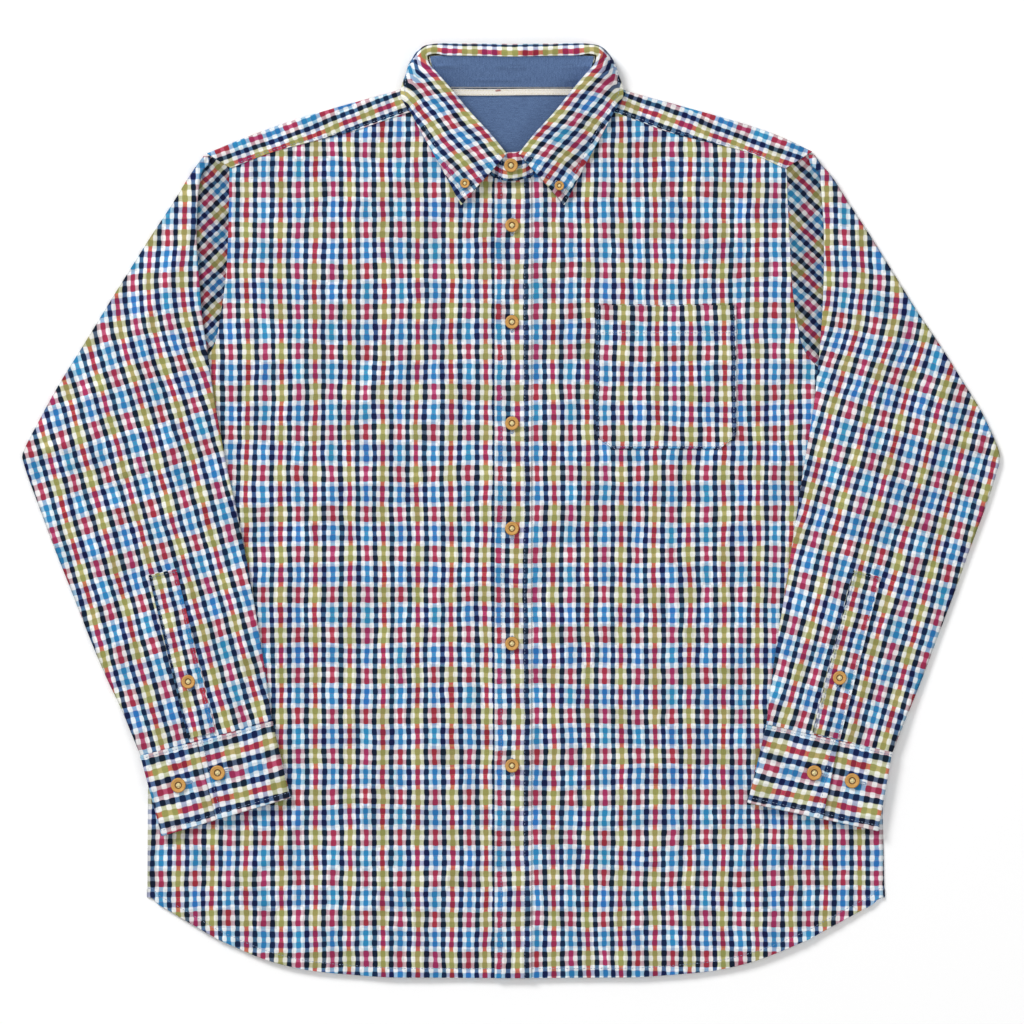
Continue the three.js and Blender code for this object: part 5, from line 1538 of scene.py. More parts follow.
@dataclass
class Collar:
    """The stand with its chambray facing, and the button-down leaf."""

    garment: Garment
    ply: float = 1.0
    leaf_thick: float = 1.3
    leaf_stitch: float = 5.5

    def band_control(self) -> Array:
        """The middle surface between the stand's two plies."""
        mirror = [(-r[0], r[1], r[2], -r[3], r[4], r[5]) for r in reversed(BAND)]
        rows = [*reversed(BAND_END_UNDER), *mirror, *BAND[1:], *BAND_END_OVER]
        grid = []
        for j in range(4):
            v = j / 3
            bow = 0.5 * math.sin(math.pi * v)
            grid.append([(lerp(r[0], r[3], v), lerp(r[1], r[4], v), lerp(r[2], r[5], v) + bow) for r in rows])
        return np.array(grid, float)

    def plies(self) -> tuple[Sheet, Sheet]:
        """The stand's outer ply and its facing."""
        control = self.band_control()
        normal = grid_normals(control, np.ones((3, control.shape[1] - 1), bool))
        away = 1.0 if normal[1, control.shape[1] // 2, 1] > 0 else -1.0
        shift = away * (self.ply + LAYER_GAP) / 2
        out = []
        for name, sign in (("collar_band_cloth", 1), ("collar_band_facing_cloth", -1)):
            fine, _, _ = refine(
                control + sign * shift * normal,
                2.2,
                (welt_places(2.0), welt_places(2.0)),
                (welt_places(2.0), ()),
            )
            up, across = run_length(fine, 0), run_length(fine, 1)
            tall = up[-1:, :]
            mean = across.mean(axis=0, keepdims=True) * np.ones_like(across)
            shape = grid_normals(fine, np.ones((fine.shape[0] - 1, fine.shape[1] - 1), bool))
            if sign < 0:
                # Wrinkles of the facing along the back neck.
                wave = 1.5 * np.exp(-(((up - 0.66 * tall) / 1.3) ** 2)) * smooth(np.sin(mean / 9.0) + 0.3)
                ridge = np.exp(-(((up - 0.22 * tall) / 1.1) ** 2))
                wave += 0.9 * ridge * smooth(np.sin(mean / 13.0 + 1) + 0.4)
                fine -= shape * (away * wave * 0.5)[..., None]
            fine += shape * pucker(mean, up, 0.12)[..., None]
            cloth = np.stack([up + 2.0, mean], axis=-1)
            # Painted light and shade: the facing is lightened all over by a shade below zero, and painted
            # shade runs along two of its creases; the outer ply has none.
            painted_light_and_shade = np.full(up.shape, -0.6 if sign < 0 else 0.0)
            if sign < 0:
                ridge = np.exp(-(((up - 0.7 * tall - 0.4 * np.sin(mean / 7.0)) / 0.8) ** 2))
                painted_light_and_shade = painted_light_and_shade + 0.7 * ridge * smooth(np.sin(mean / 9.0) + 0.3)
                ridge = np.exp(-(((up - 0.2 * tall) / 0.8) ** 2))
                painted_light_and_shade = painted_light_and_shade + 0.4 * ridge * smooth(np.sin(mean / 13.0 + 1) + 0.4)
            out.append(Sheet(name, fine, self.ply * 0.85, cloth, (0.9, 0.98), shade=painted_light_and_shade))
        return out[0], out[1]

    def leaf(self) -> Sheet:
        """The leaf's sheet, rolled over the stand and down to its points."""
        sides = [(r, -1) for r in reversed(LEAF_ROWS)] + [(r, 1) for r in LEAF_ROWS[1:]]
        grid = []
        for j in range(11):
            t, row = j / 10, []
            for r, side in sides:
                fx, fy, fz, rx, ry, sx, sy, ex, ey, ez = r
                back = ez < 5
                p = np.array([
                    (fx, fy, fz),
                    (fx + rx, fy + ry, fz + (5 if back else 1.2)),
                    (ex + sx, ey + sy, ez + (-2.6 if back else 3)),
                    (ex, ey, ez),
                ])
                b = np.array([(1 - t) ** 3, 3 * (1 - t) ** 2 * t, 3 * (1 - t) * t * t, t**3])
                c = b @ p
                shift = 1.2 * float(smooth((400 - fy) / 80)) if side > 0 else 0.0
                row.append((side * c[0] + shift, c[1], c[2]))
            grid.append(row)
        edge = welt_places(self.leaf_stitch)
        fine, _, _ = refine(np.array(grid, float), 2.4, (edge, edge), ((), edge))
        down, across = run_length(fine, 0), run_length(fine, 1)
        fold = across[0]
        tangent = np.gradient(fine[0], axis=0)
        tangent /= np.linalg.norm(tangent, axis=1, keepdims=True)
        reach = fine[-1] - fine[0]
        reach /= np.linalg.norm(reach, axis=1, keepdims=True)
        slant = np.clip((tangent * reach).sum(axis=1), -0.95, 0.95)
        middle = len(fold) // 2
        evenly = across - across[:, middle : middle + 1] + fold[middle]
        cloth = np.stack(
            [
                down * np.sqrt(1 - slant**2)[None, :] + 6.0,
                0.5 * (fold[None, :] + down * slant[None, :] + evenly),
            ],
            axis=-1,
        )
        foot = down[-1:, :] - down
        start, end = across, across[:, -1:] - across
        rim = np.minimum(np.minimum(foot, start), end)
        shape = grid_normals(fine, np.ones((fine.shape[0] - 1, fine.shape[1] - 1), bool))
        up = 1.0 if shape[-2, 3, 2] > 0 else -1.0
        lift = pucker(fold[None, :] + foot, rim, 0.16)
        lift = lift + 0.3 * unevenness(fine[..., 0] * 1.7, fine[..., 1] * 1.7)
        fine += shape * (up * lift * smooth(rim / 1.5))[..., None]
        return Sheet(
            "collar_leaf_cloth",
            fine,
            self.leaf_thick,
            cloth,
            (0.9, 0.04),
            extra=welt(rim, self.leaf_stitch, 0.45),
        )

    def build(self) -> None:
        """Builds the three pieces and their stitch lines."""
        g = self.garment
        band, facing = self.plies()
        g.add(band, "check_cotton", ["collar_band"], (0.034, 0.43), 0.0128, "folded")
        g.add(facing, "chambray", ["collar_band_facing"], (0.034, 0.42), 0.0125, "folded")
        leaf = self.leaf()
        g.add(leaf, "check_cotton", ["collar_leaf"], (0.075, 0.50), 0.026, "folded", ["collar_band_cloth"])
        s = self.leaf_stitch
        g.stitch(
            leaf.along(Edge.DOWN_END, s, 0.02, 0.98),
            leaf.along(Edge.ACROSS_START, s, 0.1, 0.93),
            leaf.along(Edge.ACROSS_END, s, 0.1, 0.93),
        )
        g.stitch(band.along(Edge.DOWN_START, 2.0, 0.9), band.along(Edge.ACROSS_END, 2.0))


# Sleeves and cuffs


@dataclass(frozen=True)
class SleeveTrim:
    """One side's sleeve placket and cuff corners, mm."""

    placket_top: Point
    placket_foot: Point
    cuff_top: tuple[Point, Point]
    cuff_foot: tuple[Point, Point]


TRIMS = {
    Side.RIGHT: SleeveTrim(
        (-307, -53), (-272.5, -196), ((-210, -185.6), (-326.3, -216.4)), ((-194.5, -250.5), (-308, -284.5))
    ),
    Side.LEFT: SleeveTrim(
        (312, -54), (276, -196.6), ((223, -188.6), (334, -213)), ((207, -255), (322, -280))
    ),
}


@dataclass
class SleeveMaker:
    """A sleeve folded flat beside and over the body, with its placket and cuff."""

    garment: Garment
    body: Body
    side: Side
    step: float = 4.0
    lean: float = 15.0
    strip_lean: float = 46.0
    row_share: float = 0.91
    cuff_thick: float = 1.6
    cuff_edge_at: float = 0.57
    cuff_underlap_at: float = 0.28
    placket_half: float = 12.3
    stitch: float = 2.2
    cuff_stitch: float = 4.5
    cuff_lap: float = 0.022

    def control(self) -> Array:
        """The sleeve's control grid, row by row from the shoulder to the cuff seam."""
        s, sign = SIDES[self.side], self.side.value
        hole, seam_end = s.armhole, s.seam_end
        fx, fy = BackAndYoke.roll_foot(self.side, 0)[:2]
        mine = Relief(self.body.control[self.side], 2)
        grid = []
        for n, (ix, iy, ox, oy, hx, hy, seam, lift, top) in enumerate(SLEEVES[self.side]):
            k = UNDERARM_ROW - n
            inner, far = np.array([ix, iy, 0.0]), np.array([ox, oy, 0.0])
            span = float(np.linalg.norm(far - inner))
            way = (far - inner) / span
            low_z = FLOOR_Z + lift
            edge_x = side_x(self.side, iy)

            def under(x: float, y: float) -> float:
                """The body's highest middle surface near a point."""
                spots = ((0, 0), (5, 0), (-5, 0), (0, 6), (0, -6))
                return max(mine.at(x + dx, y + dy) or 0.0 for dx, dy in spots)

            def crossing(outside: float) -> Array:
                """The row's point a distance outside the body's side edge."""
                t = (edge_x + sign * outside - inner[0]) / way[0]
                return inner + way * t

            front = rear = np.zeros(3)
            if n < 2:
                f, gap = (0.12, 0.65)[n], SEAM_GAP + 0.1
                nf = plan_normal([(fx, fy), s.yoke_seam[0]], 0)
                nr = plan_normal([(fx, fy), seam_end], 0)
                sf = np.sign(nf[0] * sign) or 1
                sr = np.sign(nr[0] * sign) or 1
                front = np.array(
                    [
                        lerp(fx, s.yoke_seam[0][0], f) + sf * nf[0] * gap,
                        lerp(fy, s.yoke_seam[0][1], f) + sf * nf[1] * gap,
                        PANEL_Z,
                    ]
                )
                rear = np.array(
                    [
                        lerp(fx, seam_end[0], f * 0.8) + sr * nr[0] * gap,
                        lerp(fy, seam_end[1], f * 0.8) + sr * nr[1] * gap,
                        FLOOR_Z,
                    ]
                )
            elif n <= UNDERARM_ROW:
                nrm = plan_normal(hole, k)
                flip = 1 if nrm[0] * hole[k][0] + nrm[1] * hole[k][1] > 0 else -1
                gap = SEAM_GAP + (0.5 if n == UNDERARM_ROW else 0)
                px, py = hole[k][0] + flip * nrm[0] * gap, hole[k][1] + flip * nrm[1] * gap
                front = np.array([px, py, SIDE_ROLL if k == 0 else panel_height(*hole[k])])
                back_y = BACK_SEAM_Y if n == 2 else 256.0 if n == 3 else py
                back_x = px
                if n <= 3:
                    back_x = hole[6][0] + (seam_end[0] - hole[6][0] if n == 2 else 0) + sign * gap
                rear = np.array([back_x, back_y, FLOOR_Z])
            points: list = []
            tuck_top = 0.0
            if n <= UNDERARM_ROW:
                toward = np.array([hx - front[0], hy - front[1], 0.0])
                reach = float(np.linalg.norm(toward))
                toward /= reach
                sz = min(front[2], 3.6)
                tuck_r = 1.3 if n >= 7 else 0.8
                end = max(reach - tuck_r - FLOOR_Z, reach * 0.5)
                for t in (0, 0.34, 0.68, 1):
                    z = lerp(front[2], sz, float(smooth(t * 1.3)))
                    points.append((front[0] + toward[0] * end * t, front[1] + toward[1] * end * t, z))
                tuck_top = sz + 2 * tuck_r
                turn = np.array([front[0] + toward[0] * end, front[1] + toward[1] * end, sz])
                half_turn(points, turn, toward, tuck_top, 3)
                points.append((turn[0], turn[1], tuck_top))
            else:
                begin = crossing(-2) if isinstance(seam, str) else inner + way * seam
                begin[2] = max(
                    self.body.on_fronts(begin[0], begin[1]) + CLOTH + LAYER_GAP + 0.3, SIDE_ROLL + 2
                )
                points += [tuple(begin)] * 8
            start = np.array(points[-1])
            edge_fold = 0.8 if n < 2 else 1.3
            stop = inner + way * (edge_fold + FLOOR_Z)
            fold_z = 0.0
            for t in (0.33, 0.67, 1):
                x, y = lerp(start[0], stop[0], t), lerp(start[1], stop[1], t)
                rest = start[2]
                if n <= UNDERARM_ROW:
                    ease = 0 if n < 5 else float(smooth(t * 1.6))
                    rest = lerp(tuck_top, PANEL_Z + CLOTH + LAYER_GAP + 0.15, ease)
                below = under(x, y)
                fold_z = max(rest, below + CLOTH + LAYER_GAP + 0.3 if below > 0 else 0.0)
                points.append((x, y, fold_z))
            top_z = fold_z + 2 * edge_fold
            half_turn(points, np.array([stop[0], stop[1], fold_z]), -way, top_z, 3)
            edge_r = min((top - low_z) / 2, 2.1)
            rim = far - way * (edge_r + FLOOR_Z)
            wide = float(smooth((span - 25) / 60))
            for m in range(10):
                t = m / 9
                x, y = lerp(stop[0], rim[0], t), lerp(stop[1], rim[1], t)
                arch = max(math.sin(math.pi * min(t * 1.1, 1)), 0.0) ** 1.2
                z = lerp(top_z, top, float(smooth(t))) + 2.2 * wide * arch
                for row, at, rows, share, high, slant in SLEEVE_FOLDS:
                    w = (t - at - slant * (n - row)) / share
                    calm = float(smooth(t * 8) * smooth((1 - t) * 6))
                    z += high * wide * math.exp(-(((n - row) / rows) ** 4) - w * w) * calm
                below = under(x, y)
                points.append((x, y, max(z, below + 2 * CLOTH + 1.6 if below > 0 else 0.0)))
            half_turn(points, np.array([rim[0], rim[1], top]), way, low_z, 4, edge_r)
            points.append((rim[0], rim[1], low_z))
            if n <= UNDERARM_ROW:
                if n == UNDERARM_ROW:
                    rear = np.array([hole[0][0] + sign * 1.2, hole[0][1] + 1.8, FLOOR_Z])
                run = math.hypot(rear[0] - rim[0], rear[1] - rim[1])
                w = np.array([(rim[0] - rear[0]) / run, (rim[1] - rear[1]) / run, 0.0])
                if n >= 6:
                    nrm = plan_normal(hole, k)
                    flip = 1 if nrm[0] * hole[k][0] + nrm[1] * hole[k][1] > 0 else -1
                    w += (flip * nrm[0], flip * nrm[1], 0.0)
                    w /= np.linalg.norm(w)
                for left in (min(13, run * 0.6), min(2.4, run * 0.3), 0):
                    points.append((rear[0] + w[0] * left, rear[1] + w[1] * left, rear[2]))
            else:
                side_z = SIDE_ROLL + 2.1
                far1 = crossing(15)
                far1[2] = max(low_z, lerp(low_z, side_z, 0.05))
                if math.dist(far1[:2], inner[:2]) > math.dist(rim[:2], inner[:2]) - 4:
                    far1 = np.array([rim[0] - way[0] * 1.5, rim[1] - way[1] * 1.5, lerp(low_z, side_z, 0.2)])
                points.append(tuple(far1))
                if isinstance(seam, str):
                    z = FLOOR_Z if seam == "floor" else side_z
                    points += [(*crossing(outside)[:2], z) for outside in (3.4, 1.4)]
                else:
                    points.append((*crossing(1.8)[:2], side_z))
                    points.append(tuple(start + way * SEAM_GAP))
            grid.append(points)
        made = np.array(grid, float)
        # Past the underarm the tuck ends; its columns run on from the seam, and hold no cloth.
        for j in range(UNDERARM_ROW + 1, len(made)):
            step = made[j, TUCK_CELLS + 1] - made[j, TUCK_CELLS]
            step /= max(np.linalg.norm(step), 1e-6)
            for i in range(TUCK_CELLS):
                made[j, i] = made[j, TUCK_CELLS] - step * (TUCK_CELLS - i) * 0.8
        return made

    def rise(self, x: Array, y: Array) -> Array:
        """The fine creases of the upper layer."""
        return calm_creases(SLEEVE_CREASES[self.side], x, y)

    def cloth_on(self, x: Array, y: Array) -> Array:
        """Cloth coordinates of the sleeve, its grain following the forearm."""
        sign = self.side.value
        lean = -sign * self.lean * smooth((250 - y) / 150)
        return turned_cloth(x, y, lean, (sign * 330.0, 180.0)) + np.array([2.0 * sign, 1.5])

    def sleeve(self, control: Array) -> Sheet:
        """The sleeve's sheet."""
        fine, fj, fi = refine(control, self.step, down=((), (1.0, 3.0, 5.0)))
        x, y = fine[..., 0].copy(), fine[..., 1].copy()
        mid_i, mid_j = (fi[1:] + fi[:-1]) / 2, (fj[1:] + fj[:-1]) / 2
        gone = (mid_i[None, :] < TUCK_CELLS) & (mid_j[:, None] > UNDERARM_ROW)
        upper = smooth((fi - UPPER_FROM - 0.1) / 1.0) * smooth((UPPER_TO - 0.1 - fi) / 1.0)
        down = run_length(fine, 0)
        to_cuff = down[-1:, :] - down
        across = np.cumsum(np.pad(np.linalg.norm(np.diff(fine[-1], axis=0), axis=1), (1, 0)))[None, :]
        gathers = pucker(across * 0.8, to_cuff / 2.2, 0.55, 4.0)
        shoulder = smooth((fj - 1.0) / 3.0)[:, None]
        fine[..., 2] += np.maximum(self.rise(x, y) + gathers, -0.35) * upper[None, :] * shoulder
        sign = self.side.value
        cloth = self.cloth_on(x, y) * (1.0, self.row_share)
        strip = turned_cloth(x, y, sign * self.strip_lean, (sign * 262.0, 220.0)) * (1.0, 1.15)
        share = (1 - smooth((fi - 6.5) / 1.0))[None, :, None]
        cloth = cloth * (1 - share) + strip * share
        # Painted shade: the armhole strip tucked under the sleeve's fold edge, and the outer edge where the
        # upper layer rolls down, are darkened.
        tuck_and_edge_shade = 0.4 * (1 - smooth((fi - 9.5) / 3.0))[None, :] * smooth((12.5 - fj) / 1.5)[:, None]
        tuck_and_edge_shade = tuck_and_edge_shade + 0.3 * smooth((fi - UPPER_TO - 0.1) / 1.2)[None, :]
        return Sheet(
            "sleeve_" + self.side.word + "_cloth",
            fine,
            VISIBLE_CLOTH,
            cloth,
            (0.45, self.upper_share(fi)),
            ~gone,
            shade=tuck_and_edge_shade,
        )

    @staticmethod
    def upper_share(fi: Array) -> float:
        """Where the upper layer's middle lies along a fine row, as a share."""
        return float(np.argmin(np.abs(fi - 18.5))) / (len(fi) - 1)

    def placket(self, control: Array) -> Sheet:
        """The sleeve placket's sheet, lying on the sleeve."""
        trim, sign = TRIMS[self.side], self.side.value
        heights = Relief(control, UPPER_FROM, UPPER_TO + 1)
        (tx, ty), (bx, by) = trim.placket_top, trim.placket_foot
        run = np.array([bx - tx, by - ty])
        across = np.array([-run[1], run[0]]) / np.linalg.norm(run)
        grid = []
        for j in range(9):
            row = []
            for i in range(4):
                aside = lerp(-self.placket_half, self.placket_half, i / 3)
                p = np.array([tx, ty]) + run * (j / 8) + across * aside
                row.append((p[0], p[1], (heights.at(p[0], p[1]) or 10.0) + 1.35))
            grid.append(row)
        places = welt_places(self.stitch)
        fine, _, _ = refine(np.array(grid), 3.0, (places, places), (places, ()))
        x, y = fine[..., 0].copy(), fine[..., 1].copy()
        along, down = run_length(fine, 1), run_length(fine, 0)
        rim = np.minimum(np.minimum(along, along[:, -1:] - along), down)
        fine[..., 2] += np.maximum(self.rise(x, y), -0.35) + pucker(down, rim, 0.2)
        cloth = np.stack([along + 3.0 + sign, down], axis=-1)
        return Sheet(
            "sleeve_placket_" + self.side.word + "_cloth",
            fine,
            VISIBLE_CLOTH,
            cloth,
            extra=welt(rim, self.stitch, 0.4),
        )

    def cuff(self) -> Sheet:
        """The cuff's sheet, wound round with its ends overlapping."""
        trim = TRIMS[self.side]
        grid = []
        for j in range(4):
            v = j / 3
            w = lerp(-self.cuff_lap, 1.0, v)
            ends = zip(trim.cuff_top, trim.cuff_foot)
            a, b = (np.array([lerp(p[0], q[0], w), lerp(p[1], q[1], w)]) for p, q in ends)
            span = float(np.linalg.norm(b - a))
            way = (b - a) / span
            low = 7.2
            mid = low + 2.9
            top = mid + 1.8 + LAYER_GAP + 0.2
            in_far, in_near = (1.45 + 0.9) / span, ((top - low) / 2 + 0.9) / span

            def put(t: float, z: float) -> tuple[float, float, float]:
                """A point a share t of the way across, at height z."""
                return a[0] + way[0] * t * span, a[1] + way[1] * t * span, z

            points = [put(t, mid) for t in (self.cuff_underlap_at, 0.5, 0.75, 1 - in_far)]
            half_turn(points, np.array(points[-1]), way, low, 3)
            points += [put(t, low) for t in (1 - in_far, 0.66, 0.33, in_near)]
            half_turn(points, np.array(points[-1]), -way, top, 3)
            points += [put(t, top) for t in (in_near, 0.2, 0.38, self.cuff_edge_at)]
            grid.append(points)
        places = welt_places(self.cuff_stitch)
        fine, _, fi = refine(np.array(grid), 2.6, (places, places), (welt_places(2.0), places))
        along, down = run_length(fine, 1), run_length(fine, 0)
        end, foot = along[:, -1:] - along, down[-1:, :] - down
        rim = np.minimum(foot, end)
        under = (1 - smooth((fi - 3.0) / 0.3))[None, :] * smooth((along - 30) / 6)
        layer = smooth((fi - 14.2) / 0.8)[None, :] + under
        x, y = fine[..., 0].copy(), fine[..., 1].copy()
        fine[..., 2] += (
            pucker(along, down, 0.3, 6.0) + pucker(along, rim, 0.18) + 0.5 * unevenness(x * 1.4, y * 1.4)
        ) * layer
        extra = welt(rim, self.cuff_stitch, 0.4) + welt(down, 2.0, 0.35)
        cloth = np.stack([down * 0.78 + 27.0, along * 1.02 + 4.0], axis=-1)
        return Sheet(
            "cuff_" + self.side.word + "_cloth", fine, self.cuff_thick, cloth, (0.5, 0.98), extra=extra
        )

    def build(self) -> None:
        """Builds the three pieces and their stitch lines."""
        g, word = self.garment, self.side.word
        control = self.control()
        sleeve = self.sleeve(control)
        g.add(
            sleeve,
            "check_cotton",
            ["sleeve_" + word],
            (0.42, 0.56),
            0.142,
            "folded",
            ["front_" + word + "_cloth"],
        )
        placket = self.placket(control)
        g.add(
            placket,
            "check_cotton",
            ["sleeve_placket_" + word],
            (0.0262, 0.15),
            0.0039,
            rests_on=[sleeve.name],
        )
        cuff = self.cuff()
        g.add(cuff, "check_cotton", ["cuff_" + word], (0.07, 0.31), 0.0212, "folded", [sleeve.name])
        s = self.stitch
        g.stitch(
            placket.along(Edge.ACROSS_START, s),
            placket.along(Edge.ACROSS_END, s),
            placket.along(Edge.DOWN_START, s),
        )
        g.stitch(
            cuff.along(Edge.DOWN_START, 2.0, 0.0, 1.0),
            cuff.along(Edge.DOWN_END, self.cuff_stitch),
            cuff.along(Edge.ACROSS_END, self.cuff_stitch, 0.06, 0.94),
        )


# Buttons and sewing


@dataclass(frozen=True)
class ButtonPlace:
    """A button's node and the direction of its buttonhole; None where it has none to show."""

    node: str
    carrier: str
    hole_way: Point | None
    hole_shift: float = 0.0


BAND_SLOPE = 0.14
BUTTONS = tuple(ButtonPlace(f"button_{n}", "placket_cloth", (0.0, 1.0), -1.2) for n in range(1, 7)) + (
    ButtonPlace("button_band", "collar_band_cloth", (1.0, -0.1), 2.0),
    ButtonPlace("button_point_right", "collar_leaf_cloth", (0.6, 0.8), 0.0),
    ButtonPlace("button_point_left", "collar_leaf_cloth", (-0.6, 0.8), 0.0),
    ButtonPlace("button_sleeve_right", "sleeve_placket_right_cloth", (0.235, -0.972), 0.6),
    ButtonPlace("button_sleeve_left", "sleeve_placket_left_cloth", (-0.245, -0.969), 0.6),
    ButtonPlace("button_cuff_right_1", "cuff_right_cloth", (0.965, 0.262), 4.0),
    ButtonPlace("button_cuff_right_2", "cuff_right_cloth", (0.965, 0.262), 4.0),
    ButtonPlace("button_cuff_left_1", "cuff_left_cloth", (0.975, -0.223), 4.0),
    ButtonPlace("button_cuff_left_2", "cuff_left_cloth", (0.975, -0.223), 4.0),
)


@dataclass
class ButtonMaker:
    """The turned wooden buttons: a rounded rim, a shallow dish and four holes with crossed thread."""

    garment: Garment
    around: int = 40
    hole_out: float = 0.21
    hole_size: float = 0.085
    hole_half: float = 0.95
    # Radius and height, as shares of the button's.
    profile: tuple[Point, ...] = (
        (0.0, 0.0), (0.5, 0.0), (0.8, 0.02), (0.92, 0.16), (0.985, 0.38), (1.0, 0.58), (0.985, 0.78),
        (0.93, 0.94),
        (0.85, 1.0), (0.76, 0.97), (0.68, 0.86), (0.6, 0.8), (0.54, 0.79), (0.5, 0.74), (0.46, 0.62),
        (0.4, 0.6),
        (0.2, 0.6), (0.0, 0.6),
    )

    def blank(self) -> bpy.types.Mesh:
        """A button of radius 1 and height 1 with its holes cut through.

        Returns:
            The mesh, its map's x holding the share of the radius.
        """
        points, faces = [(0.0, 0.0, 0.0)], []
        for r, h in self.profile[1:-1]:
            points += [
                (r * math.cos(2 * math.pi * n / self.around), r * math.sin(2 * math.pi * n / self.around), h)
                for n in range(self.around)
            ]
        points.append((0.0, 0.0, self.profile[-1][1]))
        rings = len(self.profile) - 2
        for n in range(self.around):
            m = (n + 1) % self.around
            faces.append((0, 1 + m, 1 + n))
            for k in range(rings - 1):
                a, b = 1 + k * self.around + n, 1 + k * self.around + m
                faces.append((a, b, b + self.around, a + self.around))
            last = 1 + (rings - 1) * self.around
            faces.append((last + n, last + m, len(points) - 1))
        disc = self.as_object("button_blank", points, faces)
        cut_points, cut_faces = [], []
        for q in range(4):
            cx, cy = self.hole_out * math.cos(
                math.pi / 4 + q * math.pi / 2
            ), self.hole_out * math.sin(math.pi / 4 + q * math.pi / 2)
            base = len(cut_points)
            for z in (-0.5, 1.5):
                cut_points += [
                    (
                        cx + self.hole_size * math.cos(2 * math.pi * n / 12),
                        cy + self.hole_size * math.sin(2 * math.pi * n / 12),
                        z,
                    )
                    for n in range(12)
                ]
            cut_faces += [
                (base + n, base + (n + 1) % 12, base + 12 + (n + 1) % 12, base + 12 + n) for n in range(12)
            ]
            cut_faces += [
                tuple(base + n for n in reversed(range(12))), tuple(base + 12 + n for n in range(12))
            ]
        cutter = self.as_object("button_holes", cut_points, cut_faces)
        cut = disc.modifiers.new("holes", "BOOLEAN")
        cut.object, cut.operation, cut.solver = cutter, "DIFFERENCE", "EXACT"
        graph = bpy.context.evaluated_depsgraph_get()
        mesh = bpy.data.meshes.new_from_object(disc.evaluated_get(graph))
        for item in (disc, cutter):
            bpy.data.objects.remove(item)
        layer = mesh.uv_layers.new(name="fabric")
        for loop in mesh.loops:
            co = mesh.vertices[loop.vertex_index].co
            layer.data[loop.index].uv = (math.hypot(co.x, co.y) * MM, co.z * MM)
        mesh.polygons.foreach_set("use_smooth", np.ones(len(mesh.polygons), bool))
        mesh.set_sharp_from_angle(angle=math.radians(50))
        return mesh

    @staticmethod
    def as_object(name: str, points: list, faces: list) -> bpy.types.Object:
        """Links a mesh made of points and faces."""
        mesh = bpy.data.meshes.new(name)
        mesh.from_pydata(points, [], faces)
        return placed(name, mesh)

    def build(self) -> tuple[list[Array], list[Array]]:
        """Builds every button.

        Returns:
            The thread strands over the buttons and the outlines of the buttonholes, mm.
        """
        blank = self.blank()
        strands, holes = [], []
        faces = {name: Relief(self.garment.sheets[name].outer(0.15)) for name in {b.carrier for b in BUTTONS}}
        for place in BUTTONS:
            low, high = (np.array(corner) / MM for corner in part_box(place.node))
            centre, radius = (low + high) / 2, (high[0] - low[0]) / 2
            tilt = math.atan(BAND_SLOPE) if place.node == "button_band" else 0.0
            thick = 2.3 if radius > 5 else 2.0
            turn = Matrix.Translation(
                Vector(centre - np.array([0, 0, thick / 2])) * MM
            ) @ Matrix.Rotation(tilt, 4, "X")
            mesh = blank.copy()
            mesh.name = place.node + "_wood"
            mesh.transform(turn @ Matrix.Diagonal((radius * MM, radius * MM, thick * MM, 1.0)))
            mesh.materials.clear()
            mesh.materials.append(self.garment.finishes["button_wood"])
            piece = placed(place.node + "_wood", mesh)
            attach(piece, "root")
            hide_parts(place.node)
            # Crossed strands from hole to hole, sagging into the dish.
            for a in (0.25, 0.75):
                for off in (-0.055, 0.0, 0.055):
                    c, s = math.cos(a * math.pi), math.sin(a * math.pi)
                    line = []
                    for t, h in ((-1.0, 0.35), (-0.82, 0.72), (0.0, 0.86), (0.82, 0.72), (1.0, 0.35)):
                        r = t * (self.hole_out + 0.015)
                        p = turn @ Vector(
                            ((c * r - s * off) * radius * MM, (s * r + c * off) * radius * MM, h * thick * MM)
                        )
                        line.append(np.array(p) / MM - TABLE_SHIFT)
                    strands.append(np.array(line))
            if place.hole_way is not None:
                way = np.array(place.hole_way) / np.linalg.norm(place.hole_way)
                across = np.array([-way[1], way[0]])
                half = radius * 1.28
                mid = centre[:2] - TABLE_SHIFT[:2] + way * place.hole_shift
                line = []
                for n in range(49):
                    a = 2 * math.pi * n / 48
                    share = np.sign(math.cos(a)) if abs(math.cos(a)) > 0.25 else math.cos(a) / 0.25
                    bulge = (half - self.hole_half) * share
                    p = mid + way * (
                        bulge + self.hole_half * math.cos(a)
                    ) + across * self.hole_half * math.sin(a)
                    z = faces[place.carrier].at(p[0], p[1])
                    if z is not None:
                        line.append((p[0], p[1], z))
                if len(line) > 24:
                    holes.append(np.array(line))
            log.info("%s", piece.name)
        return strands, holes


